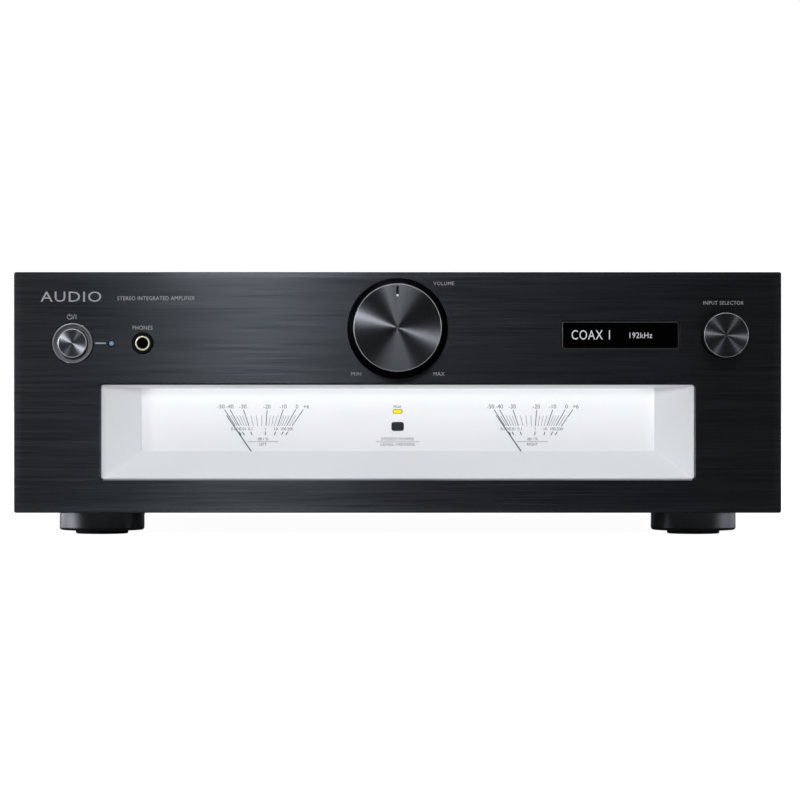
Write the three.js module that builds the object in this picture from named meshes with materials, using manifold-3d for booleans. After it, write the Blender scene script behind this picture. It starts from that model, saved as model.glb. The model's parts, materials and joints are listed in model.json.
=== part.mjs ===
// A full-width stereo integrated amplifier: a black aluminium front panel with a volume knob, an input
// selector, a power button, a headphone socket, a display window and a lit recess with two needle meters.
// Millimetres, +Z up. The front faces -Y, and the origin is under the middle of the case, on the plane
// that the feet stand on.
import * as THREE from 'three';
import { mergeVertices } from 'three/addons/utils/BufferGeometryUtils.js';
import Module from 'manifold-3d';

const wasm = await Module();
wasm.setup();

// ---------------------------------------------------------------- driving dimensions

const WIDTH = 430;
const HEIGHT = 148;
const DEPTH = 428; // from the face of the volume knob to the ends of the speaker terminals
const FOOT_HEIGHT = 13;
const KNOB_REACH = 22; // how far the volume knob stands out of the front panel
const TERMINAL_REACH = 18; // how far the speaker terminals stand out of the rear panel

const GAP = 0.3; // clearance between pieces that touch
const SHEET = 1.2; // thickness of the folded steel sheet
const PANEL_THICKNESS = 7;
const COVER_WIDTH = 424;
const COVER_TOP = 146.5;
const CASE_FLOOR = 14; // underside of the base plate

// The rest is worked out from those.
const FRONT = -DEPTH / 2 + KNOB_REACH; // face of the front panel
const PANEL_BACK = FRONT + PANEL_THICKNESS;
const REAR = DEPTH / 2 - TERMINAL_REACH; // outer face of the rear panel
const SHEET_FRONT = PANEL_BACK + GAP; // the steel sub-chassis behind the front panel
const SHEET_BACK = SHEET_FRONT + SHEET;
const INSIDE_HALF = COVER_WIDTH / 2 - SHEET - GAP; // half the width that is free inside the cover
const INSIDE_TOP = COVER_TOP - SHEET - GAP;

// Centres of the controls on the front panel.
const VOLUME = { x: 0, z: 116.4 };
const SELECTOR = { x: 182.4, z: 112.3 };
const POWER = { x: -182.2, z: 108.1 };
const POWER_LED = { x: -160.2, z: 107.9 };
const PHONES = { x: -142.9, z: 108.1 };
const DISPLAY = { x: 124.9, z: 112.5, width: 66, height: 15.8, corner: 1.6 };

// The lit recess. Each station is a rectangle at a depth behind the face of the front panel.
const METER_OPENING = { x: 0, z: 58.5, width: 332.4, height: 52.6 };
const RECESS_STATIONS = [
  { depth: 5.1, halfWidth: 166.0, low: 31.8, high: 84.7 },
  { depth: 8.1, halfWidth: 163.8, low: 33.0, high: 84.2 },
  { depth: 20.0, halfWidth: 145.4, low: 47.3, high: 82.8 },
];
const RECESS_WALL = 1.5;
const WINDOW_DEPTH = 2.8; // face of the clear pane
const WINDOW_THICKNESS = 2;
const DIAL_DEPTH = 24;
const DIAL_THICKNESS = 1.5;
const INDICATOR = { x: 0, z: 69.8, width: 4.7, height: 1.8, corner: 0.4 };
const SENSOR = { x: 0, z: 61.3, width: 6.5, height: 4.5, corner: 1.2 };

// The meters. A needle rests to the left of upright and swings clockwise.
const METER_X = 76.4;
const METER_Z = 37.8;
const NEEDLE_LENGTH = 36.1;
const NEEDLE_REST = -34.5; // degrees from upright
const NEEDLE_DEPTH = 21;

// The speaker terminals, from the rear panel outwards.
const TERMINALS = { x: -40, z: 56, offsets: [-40, -16, 16, 40] };
const TERMINAL_PLATE = 3;
const TERMINAL_COLLAR = 1.7;
const TERMINAL_WASHER = 1.2;

// ---------------------------------------------------------------- shape helpers

// One shared corner for each point, and no triangle without area.
function welded(geometry) {
  const bare = geometry.clone();
  bare.deleteAttribute('normal');
  bare.deleteAttribute('uv');
  const merged = mergeVertices(bare, 1e-4);
  const corners = merged.index.array;
  const kept = [];
  for (let i = 0; i < corners.length; i += 3) {
    const [a, b, c] = [corners[i], corners[i + 1], corners[i + 2]];
    if (a !== b && b !== c && c !== a) kept.push(a, b, c);
  }
  merged.setIndex(kept);
  return merged;
}

function asSolid(geometry) {
  const mesh = welded(geometry);
  const vertProperties = Float32Array.from(mesh.attributes.position.array);
  const triVerts = Uint32Array.from(mesh.index.array);
  return new wasm.Manifold(new wasm.Mesh({ numProp: 3, vertProperties, triVerts }));
}

function asGeometry(solid) {
  const mesh = solid.getMesh();
  const geometry = new THREE.BufferGeometry();
  geometry.setAttribute('position', new THREE.BufferAttribute(mesh.vertProperties, 3));
  geometry.setIndex(new THREE.BufferAttribute(mesh.triVerts, 1));
  return geometry;
}

function cut(body, ...tools) {
  let solid = asSolid(body);
  for (const tool of tools) solid = solid.subtract(asSolid(tool));
  return asGeometry(solid);
}

function join(...bodies) {
  let solid = asSolid(bodies[0]);
  for (const body of bodies.slice(1)) solid = solid.add(asSolid(body));
  return asGeometry(solid);
}

// A box from its lowest to its highest corner.
function block(x0, x1, y0, y1, z0, z1) {
  const box = new THREE.BoxGeometry(x1 - x0, y1 - y0, z1 - z0);
  return box.translate((x0 + x1) / 2, (y0 + y1) / 2, (z0 + z1) / 2);
}

// A round bar along Y.
function bar(x, z, radius, y0, y1, sides = 16) {
  const cylinder = new THREE.CylinderGeometry(radius, radius, y1 - y0, sides);
  return cylinder.translate(x, (y0 + y1) / 2, z);
}

// A solid of revolution about Y. The profile's [radius, y] points run from the axis back to the axis.
function turned(x, z, profile, sides = 16) {
  const points = profile.map(([radius, y]) => new THREE.Vector2(radius, y));
  return new THREE.LatheGeometry(points, sides).translate(x, 0, z);
}

// A ring about Y, whose closed profile doesn't touch the axis.
function turnedRing(x, z, profile, sides = 16) {
  return turned(x, z, [...profile, profile[0]], sides);
}

// The same about Z, for feet and other upright pieces; the profile's points are [radius, z].
function upright(x, y, profile, sides = 16) {
  const points = profile.map(([radius, z]) => new THREE.Vector2(radius, z));
  return new THREE.LatheGeometry(points, sides).rotateX(Math.PI / 2).translate(x, y, 0);
}

// An outline in X and Z, pushed back along Y from y0 to y1.
function pushed(shape, y0, y1, curveSegments = 1) {
  const extruded = new THREE.ExtrudeGeometry(shape, { depth: y1 - y0, bevelEnabled: false, curveSegments });
  return extruded.rotateX(Math.PI / 2).translate(0, y1, 0);
}

// A slab that faces -Y, with rounded corners.
function slab(x, z, width, height, corner, y0, y1) {
  const [left, right] = [x - width / 2, x + width / 2];
  const [low, high] = [z - height / 2, z + height / 2];
  const shape = new THREE.Shape();
  shape.moveTo(left + corner, low);
  shape.lineTo(right - corner, low);
  shape.absarc(right - corner, low + corner, corner, -Math.PI / 2, 0);
  shape.lineTo(right, high - corner);
  shape.absarc(right - corner, high - corner, corner, 0, Math.PI / 2);
  shape.lineTo(left + corner, high);
  shape.absarc(left + corner, high - corner, corner, Math.PI / 2, Math.PI);
  shape.lineTo(left, low + corner);
  shape.absarc(left + corner, low + corner, corner, Math.PI, Math.PI * 1.5);
  return pushed(shape, y0, y1);
}

// A solid through a row of rectangles, each { y, x0, x1, z0, z1 }, from front to back.
function lofted(stations) {
  const positions = [];
  for (const { y, x0, x1, z0, z1 } of stations) {
    positions.push(x0, y, z0, x1, y, z0, x1, y, z1, x0, y, z1);
  }
  const index = [0, 1, 2, 0, 2, 3];
  for (let s = 0; s + 1 < stations.length; s += 1) {
    for (let side = 0; side < 4; side += 1) {
      const a = s * 4 + side;
      const b = s * 4 + ((side + 1) % 4);
      index.push(a, a + 4, b, b, a + 4, b + 4);
    }
  }
  const last = (stations.length - 1) * 4;
  index.push(last, last + 2, last + 1, last, last + 3, last + 2);
  const geometry = new THREE.BufferGeometry();
  geometry.setAttribute('position', new THREE.BufferAttribute(new Float32Array(positions), 3));
  geometry.setIndex(index);
  return geometry;
}

// ---------------------------------------------------------------- finishes

// Each finish makes a new material every time it's called, so that no two meshes share one.
function finish(color, roughness, metalness) {
  return () => new THREE.MeshStandardMaterial({ color, roughness, metalness });
}

const blackAluminium = finish(0x2c3136, 0.42, 0.9);
const greyAluminium = finish(0x6a6e73, 0.3, 1);
const blackSteel = finish(0x1d1f21, 0.55, 0.4);
const plainSteel = finish(0xa9adb0, 0.4, 0.9);
const whitePlastic = finish(0xeef1f5, 0.6, 0);
const clearPlastic = finish(0xf4f8fb, 0.05, 0);
const blackGloss = finish(0x050607, 0.08, 0);
const blackPlastic = finish(0x151617, 0.5, 0);
const rubber = finish(0x101011, 0.85, 0);
const needleGrey = finish(0x4a5560, 0.4, 0.6);
const gold = finish(0xd9b866, 0.25, 1);
const blueLens = finish(0x4f9fe0, 0.2, 0);
const amberLens = finish(0xf6c95a, 0.3, 0);
const circuitGreen = finish(0x1f4a32, 0.5, 0.1);
const heatsinkGrey = finish(0x3a3d40, 0.5, 0.8);

const amplifier = new THREE.Group();

function place(name, geometry, material, parent = amplifier) {
  const mesh = new THREE.Mesh(geometry, material());
  mesh.name = name;
  parent.add(mesh);
  return mesh;
}

// ---------------------------------------------------------------- case

const PANEL_HEIGHT = HEIGHT - FOOT_HEIGHT;
const PANEL_CORNER = 1.2;
const REBATE_DEPTH = 2.5; // the clear pane sits in a rebate this far behind the panel's face
const REBATE = { width: 337, height: 58 };
const OPENING_CHAMFER = 0.9;

const VOLUME_BUSHING = 4.5; // radius of the bushing that the volume shaft turns in
const SELECTOR_BUSHING = 4;
const BUSHING_PLAY = 0.4; // between a bushing and the sub-chassis
const RING_RADIUS = 11.3; // the dished ring round the power button
const RING_INNER = 8.7;
const PHONES_RADIUS = 5.6;
const LED_RADIUS = 1.3;

function frontPanel() {
  const middle = FOOT_HEIGHT + PANEL_HEIGHT / 2;
  const plate = slab(0, middle, WIDTH, PANEL_HEIGHT, PANEL_CORNER, FRONT, PANEL_BACK);
  const { x, z, width, height } = METER_OPENING;
  const mouth = (y, grow) => ({
    y,
    x0: x - width / 2 - grow,
    x1: x + width / 2 + grow,
    z0: z - height / 2 - grow,
    z1: z + height / 2 + grow,
  });
  const opening = lofted([
    mouth(FRONT - 1, OPENING_CHAMFER + 1),
    mouth(FRONT + OPENING_CHAMFER, 0),
    mouth(PANEL_BACK + 1, 0),
  ]);
  const rebate = slab(x, z, REBATE.width, REBATE.height, 1, FRONT + REBATE_DEPTH, PANEL_BACK + 1);
  const hole = (centre, radius) => bar(centre.x, centre.z, radius, FRONT - 1, PANEL_BACK + 1);
  const displayHole = slab(DISPLAY.x, DISPLAY.z, DISPLAY.width + 2 * GAP, DISPLAY.height + 2 * GAP,
    DISPLAY.corner + GAP, FRONT - 1, PANEL_BACK + 1);
  return cut(plate, opening, rebate, displayHole,
    hole(VOLUME, VOLUME_BUSHING + 1),
    hole(SELECTOR, SELECTOR_BUSHING + 1),
    hole(POWER, RING_RADIUS + GAP),
    hole(POWER_LED, LED_RADIUS + GAP),
    hole(PHONES, PHONES_RADIUS + GAP));
}

// A plate that closes the case from side to side. Its corners clear the bends of the cover.
function crossPlate(y0, y1) {
  const height = INSIDE_TOP - CASE_FLOOR;
  return slab(0, CASE_FLOOR + height / 2, 2 * INSIDE_HALF, height, 2, y0, y1);
}

// The steel plate that carries the controls. The recess passes through its long cut-out.
function frontSubchassis() {
  const plate = crossPlate(SHEET_FRONT, SHEET_BACK);
  const [y0, y1] = [SHEET_FRONT - 1, SHEET_BACK + 1];
  const hole = (centre, radius) => bar(centre.x, centre.z, radius, y0, y1);
  const passage = ({ x, z, width, height }, margin) => block(
    x - width / 2 - margin, x + width / 2 + margin, y0, y1, z - height / 2 - margin, z + height / 2 + margin,
  );
  return cut(plate,
    passage({ ...METER_OPENING, ...REBATE }, 1),
    passage(DISPLAY, -1),
    hole(VOLUME, VOLUME_BUSHING + BUSHING_PLAY),
    hole(SELECTOR, SELECTOR_BUSHING + BUSHING_PLAY),
    hole(POWER, RING_INNER + GAP),
    hole(POWER_LED, LED_RADIUS + GAP),
    hole(PHONES, PHONES_RADIUS + GAP));
}

const VENT = { length: 90, width: 3.6, first: 10, pitch: 12, rows: 11, columns: [-122, 0, 122] };
const SCREW_Y = [-120, 120];
const SCREW_Z = 23;
const SCREW_HOLE = 2.3;

// Round holes through the cover's sides and the base plate's flanges.
function screwHoles() {
  return SCREW_Y.map((y) => {
    const rod = new THREE.CylinderGeometry(SCREW_HOLE, SCREW_HOLE, WIDTH, 10);
    return rod.rotateZ(Math.PI / 2).translate(0, y, SCREW_Z);
  });
}

// One sheet folded into a lid and two sides, with three fields of cooling slots.
function topCover() {
  const half = COVER_WIDTH / 2;
  const bend = 2.6;
  const inner = half - SHEET;
  const innerTop = COVER_TOP - SHEET;
  const sheet = new THREE.Shape();
  sheet.moveTo(half, CASE_FLOOR);
  sheet.lineTo(half, COVER_TOP - bend);
  sheet.absarc(half - bend, COVER_TOP - bend, bend, 0, Math.PI / 2);
  sheet.lineTo(-half + bend, COVER_TOP);
  sheet.absarc(-half + bend, COVER_TOP - bend, bend, Math.PI / 2, Math.PI);
  sheet.lineTo(-half, CASE_FLOOR);
  sheet.lineTo(-inner, CASE_FLOOR);
  sheet.lineTo(-inner, innerTop - bend + SHEET);
  sheet.absarc(-half + bend, COVER_TOP - bend, bend - SHEET, Math.PI, Math.PI / 2, true);
  sheet.lineTo(half - bend, innerTop);
  sheet.absarc(half - bend, COVER_TOP - bend, bend - SHEET, Math.PI / 2, 0, true);
  sheet.lineTo(inner, CASE_FLOOR);
  const folded = pushed(sheet, SHEET_FRONT, REAR + GAP, 2);
  const slots = [];
  for (const x of VENT.columns) {
    for (let i = 0; i < VENT.rows; i += 1) {
      const y = VENT.first + i * VENT.pitch;
      const [x0, x1] = [x - VENT.length / 2, x + VENT.length / 2];
      slots.push(block(x0, x1, y, y + VENT.width, innerTop - 1, COVER_TOP + 1));
    }
  }
  return cut(folded, ...slots, ...screwHoles());
}

const BASE_FRONT = SHEET_BACK + GAP;
const BASE_BACK = REAR - SHEET - GAP;
const BASE_TOP = CASE_FLOOR + 1.5;
const FLANGE_TOP = 30;

// The floor of the case, with a flange up each side that the cover screws into.
function basePlate() {
  const floor = block(-INSIDE_HALF, INSIDE_HALF, BASE_FRONT, BASE_BACK, CASE_FLOOR, BASE_TOP);
  const flanges = [-1, 1].map((side) => {
    const edges = [side * INSIDE_HALF, side * (INSIDE_HALF - SHEET)].sort((a, b) => a - b);
    return block(edges[0], edges[1], BASE_FRONT, BASE_BACK, CASE_FLOOR, FLANGE_TOP);
  });
  return cut(join(floor, ...flanges), ...screwHoles());
}

// A screw through the cover's side into the base plate's flange.
function coverScrew() {
  const headRadius = 3.8;
  const headHeight = 1.9;
  const shankRadius = 1.9;
  const shankLength = 7;
  return turned(0, 0, [
    [0, -shankLength],
    [shankRadius, -shankLength],
    [shankRadius, 0],
    [headRadius, 0],
    [headRadius, headHeight - 0.6],
    [headRadius - 0.6, headHeight],
    [0, headHeight],
  ], 10).rotateZ(-Math.PI / 2);
}

function placeCase() {
  place('front_panel', frontPanel(), blackAluminium);
  place('front_subchassis', frontSubchassis(), plainSteel);
  place('top_cover', topCover(), blackSteel);
  place('base_plate', basePlate(), plainSteel);
  for (const [side, direction] of [['left', -1], ['right', 1]]) {
    SCREW_Y.forEach((y, i) => {
      const screw = place(`cover_screw_${side}_${['front', 'rear'][i]}`, coverScrew(), blackSteel);
      screw.position.set(direction * (COVER_WIDTH / 2 + GAP), y, SCREW_Z);
      screw.rotation.z = direction < 0 ? Math.PI : 0;
    });
  }
}

// ---------------------------------------------------------------- feet

const FOOT_RADIUS = 24.25;
const PAD_RADIUS = 15;
const FOOT_X = { front: 169.3, rear: 187 };
const FOOT_INSET = { front: 45, rear: 91 };
const FOOT_BOTTOM = 2.1;
const PAD_TOP = 3;

function placeFeet() {
  const top = CASE_FLOOR - GAP;
  const foot = [
    [0, PAD_TOP + GAP],
    [PAD_RADIUS + GAP, PAD_TOP + GAP],
    [PAD_RADIUS + GAP, FOOT_BOTTOM],
    [FOOT_RADIUS - 1.5, FOOT_BOTTOM],
    [FOOT_RADIUS, FOOT_BOTTOM + 1.5],
    [FOOT_RADIUS, top],
    [0, top],
  ];
  const pad = [[0, 0], [PAD_RADIUS, 0], [PAD_RADIUS, PAD_TOP], [0, PAD_TOP]];
  const rows = [['front', FRONT + FOOT_INSET.front], ['rear', REAR - FOOT_INSET.rear]];
  for (const [row, y] of rows) {
    for (const [side, x] of [['left', -FOOT_X[row]], ['right', FOOT_X[row]]]) {
      place(`foot_${row}_${side}`, upright(x, y, foot, 20), blackAluminium);
      place(`foot_pad_${row}_${side}`, upright(x, y, pad, 16), rubber);
    }
  }
}

// ---------------------------------------------------------------- lit recess and meters

function meterWindow() {
  const { x, z } = METER_OPENING;
  const front = FRONT + WINDOW_DEPTH;
  return slab(x, z, REBATE.width - 2 * GAP, REBATE.height - 2 * GAP, 1, front, front + WINDOW_THICKNESS);
}

// The white moulding: a flange behind the pane, then four walls that close in on the dial. The side walls
// go on to the dial, and the roof and the floor stop short, for the light and for the needles.
function meterSurround() {
  const rectangle = ({ depth, halfWidth, low, high }, grow) => ({
    y: FRONT + depth,
    x0: -halfWidth - grow,
    x1: halfWidth + grow,
    z0: low - grow,
    z1: high + grow,
  });
  const shell = lofted(RECESS_STATIONS.map((station) => rectangle(station, RECESS_WALL)));
  const [first, ...others] = RECESS_STATIONS;
  const last = others[others.length - 1];
  const hollow = lofted([
    rectangle({ ...first, depth: first.depth - 1 }, 0),
    ...RECESS_STATIONS.map((station) => rectangle(station, 0)),
    rectangle({ ...last, depth: last.depth + 1 }, 0),
  ]);
  const { x, z } = METER_OPENING;
  const front = FRONT + first.depth;
  const flange = slab(x, z, REBATE.width - 2 * GAP, REBATE.height - 2 * GAP, 1, front, front + RECESS_WALL);
  const overlap = 0.1;
  const [returnFront, returnBack] = [FRONT + last.depth - overlap, FRONT + DIAL_DEPTH - GAP];
  const { halfWidth, low, high } = last;
  const returns = [[-halfWidth - RECESS_WALL, -halfWidth], [halfWidth, halfWidth + RECESS_WALL]].map(
    ([x0, x1]) => block(x0, x1, returnFront, returnBack, low, high),
  );
  return join(cut(join(shell, flange), hollow), ...returns);
}

const DIAL = { halfWidth: 156, low: 24, high: 92 };
const NEEDLE_SHAFT = 1.2; // radius

// The flat white plate behind the needles, with a window for each lens and a hole for each shaft.
function meterDial() {
  const [y0, y1] = [FRONT + DIAL_DEPTH, FRONT + DIAL_DEPTH + DIAL_THICKNESS];
  const plate = block(-DIAL.halfWidth, DIAL.halfWidth, y0, y1, DIAL.low, DIAL.high);
  const windows = [INDICATOR, SENSOR].map(({ x, z, width, height, corner }) => (
    slab(x, z, width + 2 * GAP, height + 2 * GAP, corner, y0 - 1, y1 + 1)
  ));
  const shaftHoles = [-METER_X, METER_X].map((x) => (
    bar(x, METER_Z, 2 * NEEDLE_SHAFT, y0 - 1, y1 + 1, 10)
  ));
  return cut(plate, ...windows, ...shaftHoles);
}

// A needle about its own pivot, upright: pointer, hub, counterweight and the shaft that the coil turns.
function needle() {
  const thickness = 0.6;
  const tailLength = 9;
  const hub = { radius: 3.6, front: -0.4, back: 1.6 };
  const shaftLength = 12;
  const tapered = (halfStart, halfEnd, end) => {
    const outline = new THREE.Shape();
    outline.moveTo(-halfStart, 0);
    outline.lineTo(halfStart, 0);
    outline.lineTo(halfEnd, end);
    outline.lineTo(-halfEnd, end);
    return pushed(outline, 0, thickness);
  };
  return join(
    tapered(0.4, 0.25, NEEDLE_LENGTH),
    tapered(-0.8, -1.6, -tailLength),
    bar(0, 0, hub.radius, hub.front, hub.back, 12),
    bar(0, 0, NEEDLE_SHAFT, 0, shaftLength, 8),
  );
}

// The moving-coil movement behind the dial, with a hole for the needle's shaft.
function meterMovement(x) {
  const front = FRONT + DIAL_DEPTH + DIAL_THICKNESS + GAP;
  const boreEnd = front + 9;
  const back = front + 20;
  const bore = NEEDLE_SHAFT + 0.4;
  const radius = 15.5;
  return turned(x, METER_Z, [
    [0, boreEnd],
    [bore, boreEnd],
    [bore, front],
    [radius, front],
    [radius, back],
    [0, back],
  ], 14);
}

// A lens through the dial, standing half a millimetre in front of it.
function lens({ x, z, width, height, corner }) {
  const front = FRONT + DIAL_DEPTH - 0.5;
  return slab(x, z, width, height, corner, front, front + 4.5);
}

// The strip of light along the top of the dial, out of sight above the recess's roof.
function meterLightBar() {
  const back = FRONT + DIAL_DEPTH - 2 * GAP;
  const thickness = 2.6;
  return block(-140, 140, back - thickness, back, 85.5, 88.5);
}

function placeMeters() {
  place('meter_window', meterWindow(), clearPlastic);
  place('meter_surround', meterSurround(), whitePlastic);
  place('meter_dial', meterDial(), whitePlastic);
  for (const [side, x] of [['left', -METER_X], ['right', METER_X]]) {
    const pointer = place(`needle_${side}`, needle(), needleGrey);
    pointer.position.set(x, FRONT + NEEDLE_DEPTH, METER_Z);
    pointer.rotation.y = THREE.MathUtils.degToRad(NEEDLE_REST);
    place(`meter_movement_${side}`, meterMovement(x), blackPlastic);
  }
  place('meter_light_bar', meterLightBar(), whitePlastic);
  place('peak_indicator_lens', lens(INDICATOR), amberLens);
  place('remote_sensor_window', lens(SENSOR), blackGloss);
}

// ---------------------------------------------------------------- rotary controls

// A shaft ends at a depth behind the face of the front panel, inside the body of its control.
const VOLUME_KNOB = { reach: KNOB_REACH, baseRadius: 28.3, tipRadius: 24.4, sides: 40 };
const VOLUME_CONTROL = { bushing: VOLUME_BUSHING, halfWidth: 13, depth: 24, shaftEnd: 22 };
const SELECTOR_KNOB = { reach: 20, baseRadius: 12.8, tipRadius: 12.4, sides: 24 };
const SELECTOR_CONTROL = { bushing: SELECTOR_BUSHING, halfWidth: 7, depth: 10, shaftEnd: 14 };
const SHAFT_RADIUS = 3;
const KNOB_FACE = 4; // thickness of a knob's face
const SOCKET_FLOOR = 6; // from a knob's face to the end of the socket for its shaft

// A hollow turned knob with a hub inside it. The tip faces -Y, and the base stops short of the panel.
function knob({ x, z }, { reach, baseRadius, tipRadius, sides }) {
  const tip = FRONT - reach;
  const base = FRONT - 0.8;
  const wall = 2.6;
  const chamfer = 0.6;
  const hub = 6.5;
  const bore = SHAFT_RADIUS + GAP;
  return turned(x, z, [
    [0, tip],
    [tipRadius - chamfer, tip],
    [tipRadius, tip + chamfer],
    [baseRadius, base],
    [baseRadius - wall, base],
    [tipRadius - wall, tip + KNOB_FACE],
    [hub, tip + KNOB_FACE],
    [hub, base],
    [bore, base],
    [bore, tip + SOCKET_FLOOR],
    [0, tip + SOCKET_FLOOR],
  ], sides);
}

function controlShaft({ x, z }, { reach }, { shaftEnd }) {
  return bar(x, z, SHAFT_RADIUS, FRONT - reach + SOCKET_FLOOR + GAP, FRONT + shaftEnd, 16);
}

// A potentiometer or encoder: a bushing through the sub-chassis and a body behind it.
function rotaryControl({ x, z }, { bushing, halfWidth, depth, shaftEnd }) {
  const bushingFront = FRONT + 1.5;
  const front = SHEET_BACK + GAP;
  const whole = join(
    bar(x, z, bushing, bushingFront, front + 1),
    block(x - halfWidth, x + halfWidth, front, front + depth, z - halfWidth, z + halfWidth),
  );
  return cut(whole, bar(x, z, SHAFT_RADIUS + GAP, FRONT, FRONT + shaftEnd + GAP));
}

// A groove cut into the rim of the volume knob's face, upwards from its centre.
function volumeKnob() {
  const tip = FRONT - VOLUME_KNOB.reach;
  const rim = VOLUME.z + VOLUME_KNOB.tipRadius;
  const groove = { halfWidth: 0.7, depth: 1.1, inner: rim - 6.4, outer: rim - 1.1 };
  return cut(
    knob(VOLUME, VOLUME_KNOB),
    block(-groove.halfWidth, groove.halfWidth, tip - 1, tip + groove.depth, groove.inner, groove.outer),
  );
}

function placeRotaryControls() {
  place('volume_knob', volumeKnob(), greyAluminium);
  place('volume_shaft', controlShaft(VOLUME, VOLUME_KNOB, VOLUME_CONTROL), plainSteel);
  place('volume_control', rotaryControl(VOLUME, VOLUME_CONTROL), plainSteel);
  place('selector_knob', knob(SELECTOR, SELECTOR_KNOB), greyAluminium);
  place('selector_shaft', controlShaft(SELECTOR, SELECTOR_KNOB, SELECTOR_CONTROL), plainSteel);
  place('selector_encoder', rotaryControl(SELECTOR, SELECTOR_CONTROL), plainSteel);
}

// ---------------------------------------------------------------- power button, light and headphones

const BUTTON_RADIUS = 8.2;
const BUTTON_PROUD = 1.8;
const BUTTON_BACK = 5;
const STEM_RADIUS = 2.5;
const STEM_END = 24;
const BUTTON_TRAVEL = 3;
const SWITCH_FRONT = 17;

function powerButton() {
  const [tip, back] = [FRONT - BUTTON_PROUD, FRONT + BUTTON_BACK];
  return turned(POWER.x, POWER.z, [
    [0, tip],
    [BUTTON_RADIUS - 0.5, tip],
    [BUTTON_RADIUS, tip + 0.5],
    [BUTTON_RADIUS, back],
    [STEM_RADIUS, back],
    [STEM_RADIUS, FRONT + STEM_END],
    [0, FRONT + STEM_END],
  ], 20);
}

// The dished ring: its face slopes back from the outer edge to the button.
function powerButtonRing() {
  const dish = 1.4;
  const proud = 0.4;
  const back = PANEL_BACK - 2 * GAP;
  return turnedRing(POWER.x, POWER.z, [
    [RING_INNER, FRONT + dish],
    [RING_RADIUS - 0.7, FRONT - proud],
    [RING_RADIUS, FRONT - proud + 0.3],
    [RING_RADIUS, back],
    [RING_INNER, back],
  ], 24);
}

// The coil spring between the button and the switch.
function powerButtonSpring() {
  const coilRadius = 4.6;
  const wireRadius = 0.45;
  const turns = 4;
  const start = FRONT + BUTTON_BACK + wireRadius + GAP;
  const end = FRONT + SWITCH_FRONT - wireRadius - GAP;
  const points = [];
  const stepsPerTurn = 10;
  for (let i = 0; i <= turns * stepsPerTurn; i += 1) {
    const angle = (i / stepsPerTurn) * Math.PI * 2;
    const y = start + ((end - start) * i) / (turns * stepsPerTurn);
    points.push(new THREE.Vector3(coilRadius * Math.cos(angle), y, coilRadius * Math.sin(angle)));
  }
  const wire = new THREE.Shape();
  wire.absarc(0, 0, wireRadius, 0, Math.PI * 2);
  const path = new THREE.CatmullRomCurve3(points);
  const coil = new THREE.ExtrudeGeometry(wire, {
    extrudePath: path,
    steps: turns * stepsPerTurn,
    curveSegments: 2,
    bevelEnabled: false,
  });
  return coil.translate(POWER.x, 0, POWER.z);
}

function powerSwitch() {
  const { x, z } = POWER;
  const [halfWidth, halfHeight, depth] = [8, 9, 19];
  const front = FRONT + SWITCH_FRONT;
  const holeEnd = FRONT + STEM_END + BUTTON_TRAVEL + GAP;
  return cut(
    block(x - halfWidth, x + halfWidth, front, front + depth, z - halfHeight, z + halfHeight),
    bar(x, z, STEM_RADIUS + GAP, front - 1, holeEnd),
  );
}

// The domed end of the light pipe.
function powerLed() {
  const tip = FRONT - 0.6;
  const back = FRONT + 12;
  return turned(POWER_LED.x, POWER_LED.z, [
    [0, tip],
    [LED_RADIUS * 0.7, tip + 0.2],
    [LED_RADIUS, tip + 0.7],
    [LED_RADIUS, back],
    [0, back],
  ], 12);
}

const PHONES_SLEEVE = { outer: 4.2, inner: 3.15 };
const PHONES_DEPTH = 20;

// The black moulded socket: a collar through the panel, and a body behind the sub-chassis.
function headphoneJack() {
  const { x, z } = PHONES;
  const front = SHEET_BACK + GAP;
  const back = FRONT + PHONES_DEPTH + 6;
  const half = 7;
  const whole = join(
    bar(x, z, PHONES_RADIUS, FRONT - 0.6, front + 1, 24),
    block(x - half, x + half, front, back, z - half, z + half),
  );
  return cut(whole, bar(x, z, PHONES_SLEEVE.outer + GAP, FRONT - 2, FRONT + PHONES_DEPTH, 24));
}

function headphoneSleeve() {
  const { outer, inner } = PHONES_SLEEVE;
  const [y0, y1] = [FRONT - 0.9, FRONT + PHONES_DEPTH - GAP];
  return turnedRing(PHONES.x, PHONES.z, [
    [inner, y0 + 0.5],
    [inner + 0.4, y0],
    [outer, y0],
    [outer, y1],
    [inner, y1],
  ], 24);
}

function placeSmallControls() {
  place('power_button', powerButton(), greyAluminium);
  place('power_button_ring', powerButtonRing(), greyAluminium);
  place('power_button_spring', powerButtonSpring(), plainSteel);
  place('power_switch', powerSwitch(), blackPlastic);
  place('power_led', powerLed(), blueLens);
  place('headphone_jack', headphoneJack(), blackPlastic);
  place('headphone_sleeve', headphoneSleeve(), gold);
}

// ---------------------------------------------------------------- display

const BOARD_THICKNESS = 1.6;

function displayWindow() {
  const { x, z, width, height, corner } = DISPLAY;
  const front = FRONT + GAP;
  return slab(x, z, width, height, corner, front, front + 3);
}

// The board behind the window, with the display module standing on it.
function displayBoard() {
  const { x, z } = DISPLAY;
  const front = FRONT + 13;
  const [left, right, low, high] = [40, 168, 94, 142];
  const [moduleHalfWidth, moduleHalfHeight] = [33, 9];
  return join(
    block(left, right, front, front + BOARD_THICKNESS, low, high),
    block(x - moduleHalfWidth, x + moduleHalfWidth, SHEET_BACK + 2 * GAP, front + 0.5,
      z - moduleHalfHeight, z + moduleHalfHeight),
  );
}

function placeDisplay() {
  place('display_window', displayWindow(), blackGloss);
  place('display_board', displayBoard(), circuitGreen);
}

// ---------------------------------------------------------------- inside the case

const TRANSFORMER = { x: -120, y: -55, radius: 56, hole: 14, top: 78, round: 10 };
const CAPACITOR = { xs: [60, 102], y: -45, radius: 17.5, height: 48 };
const BOARD_LOW = 22; // underside of the main board

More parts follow.
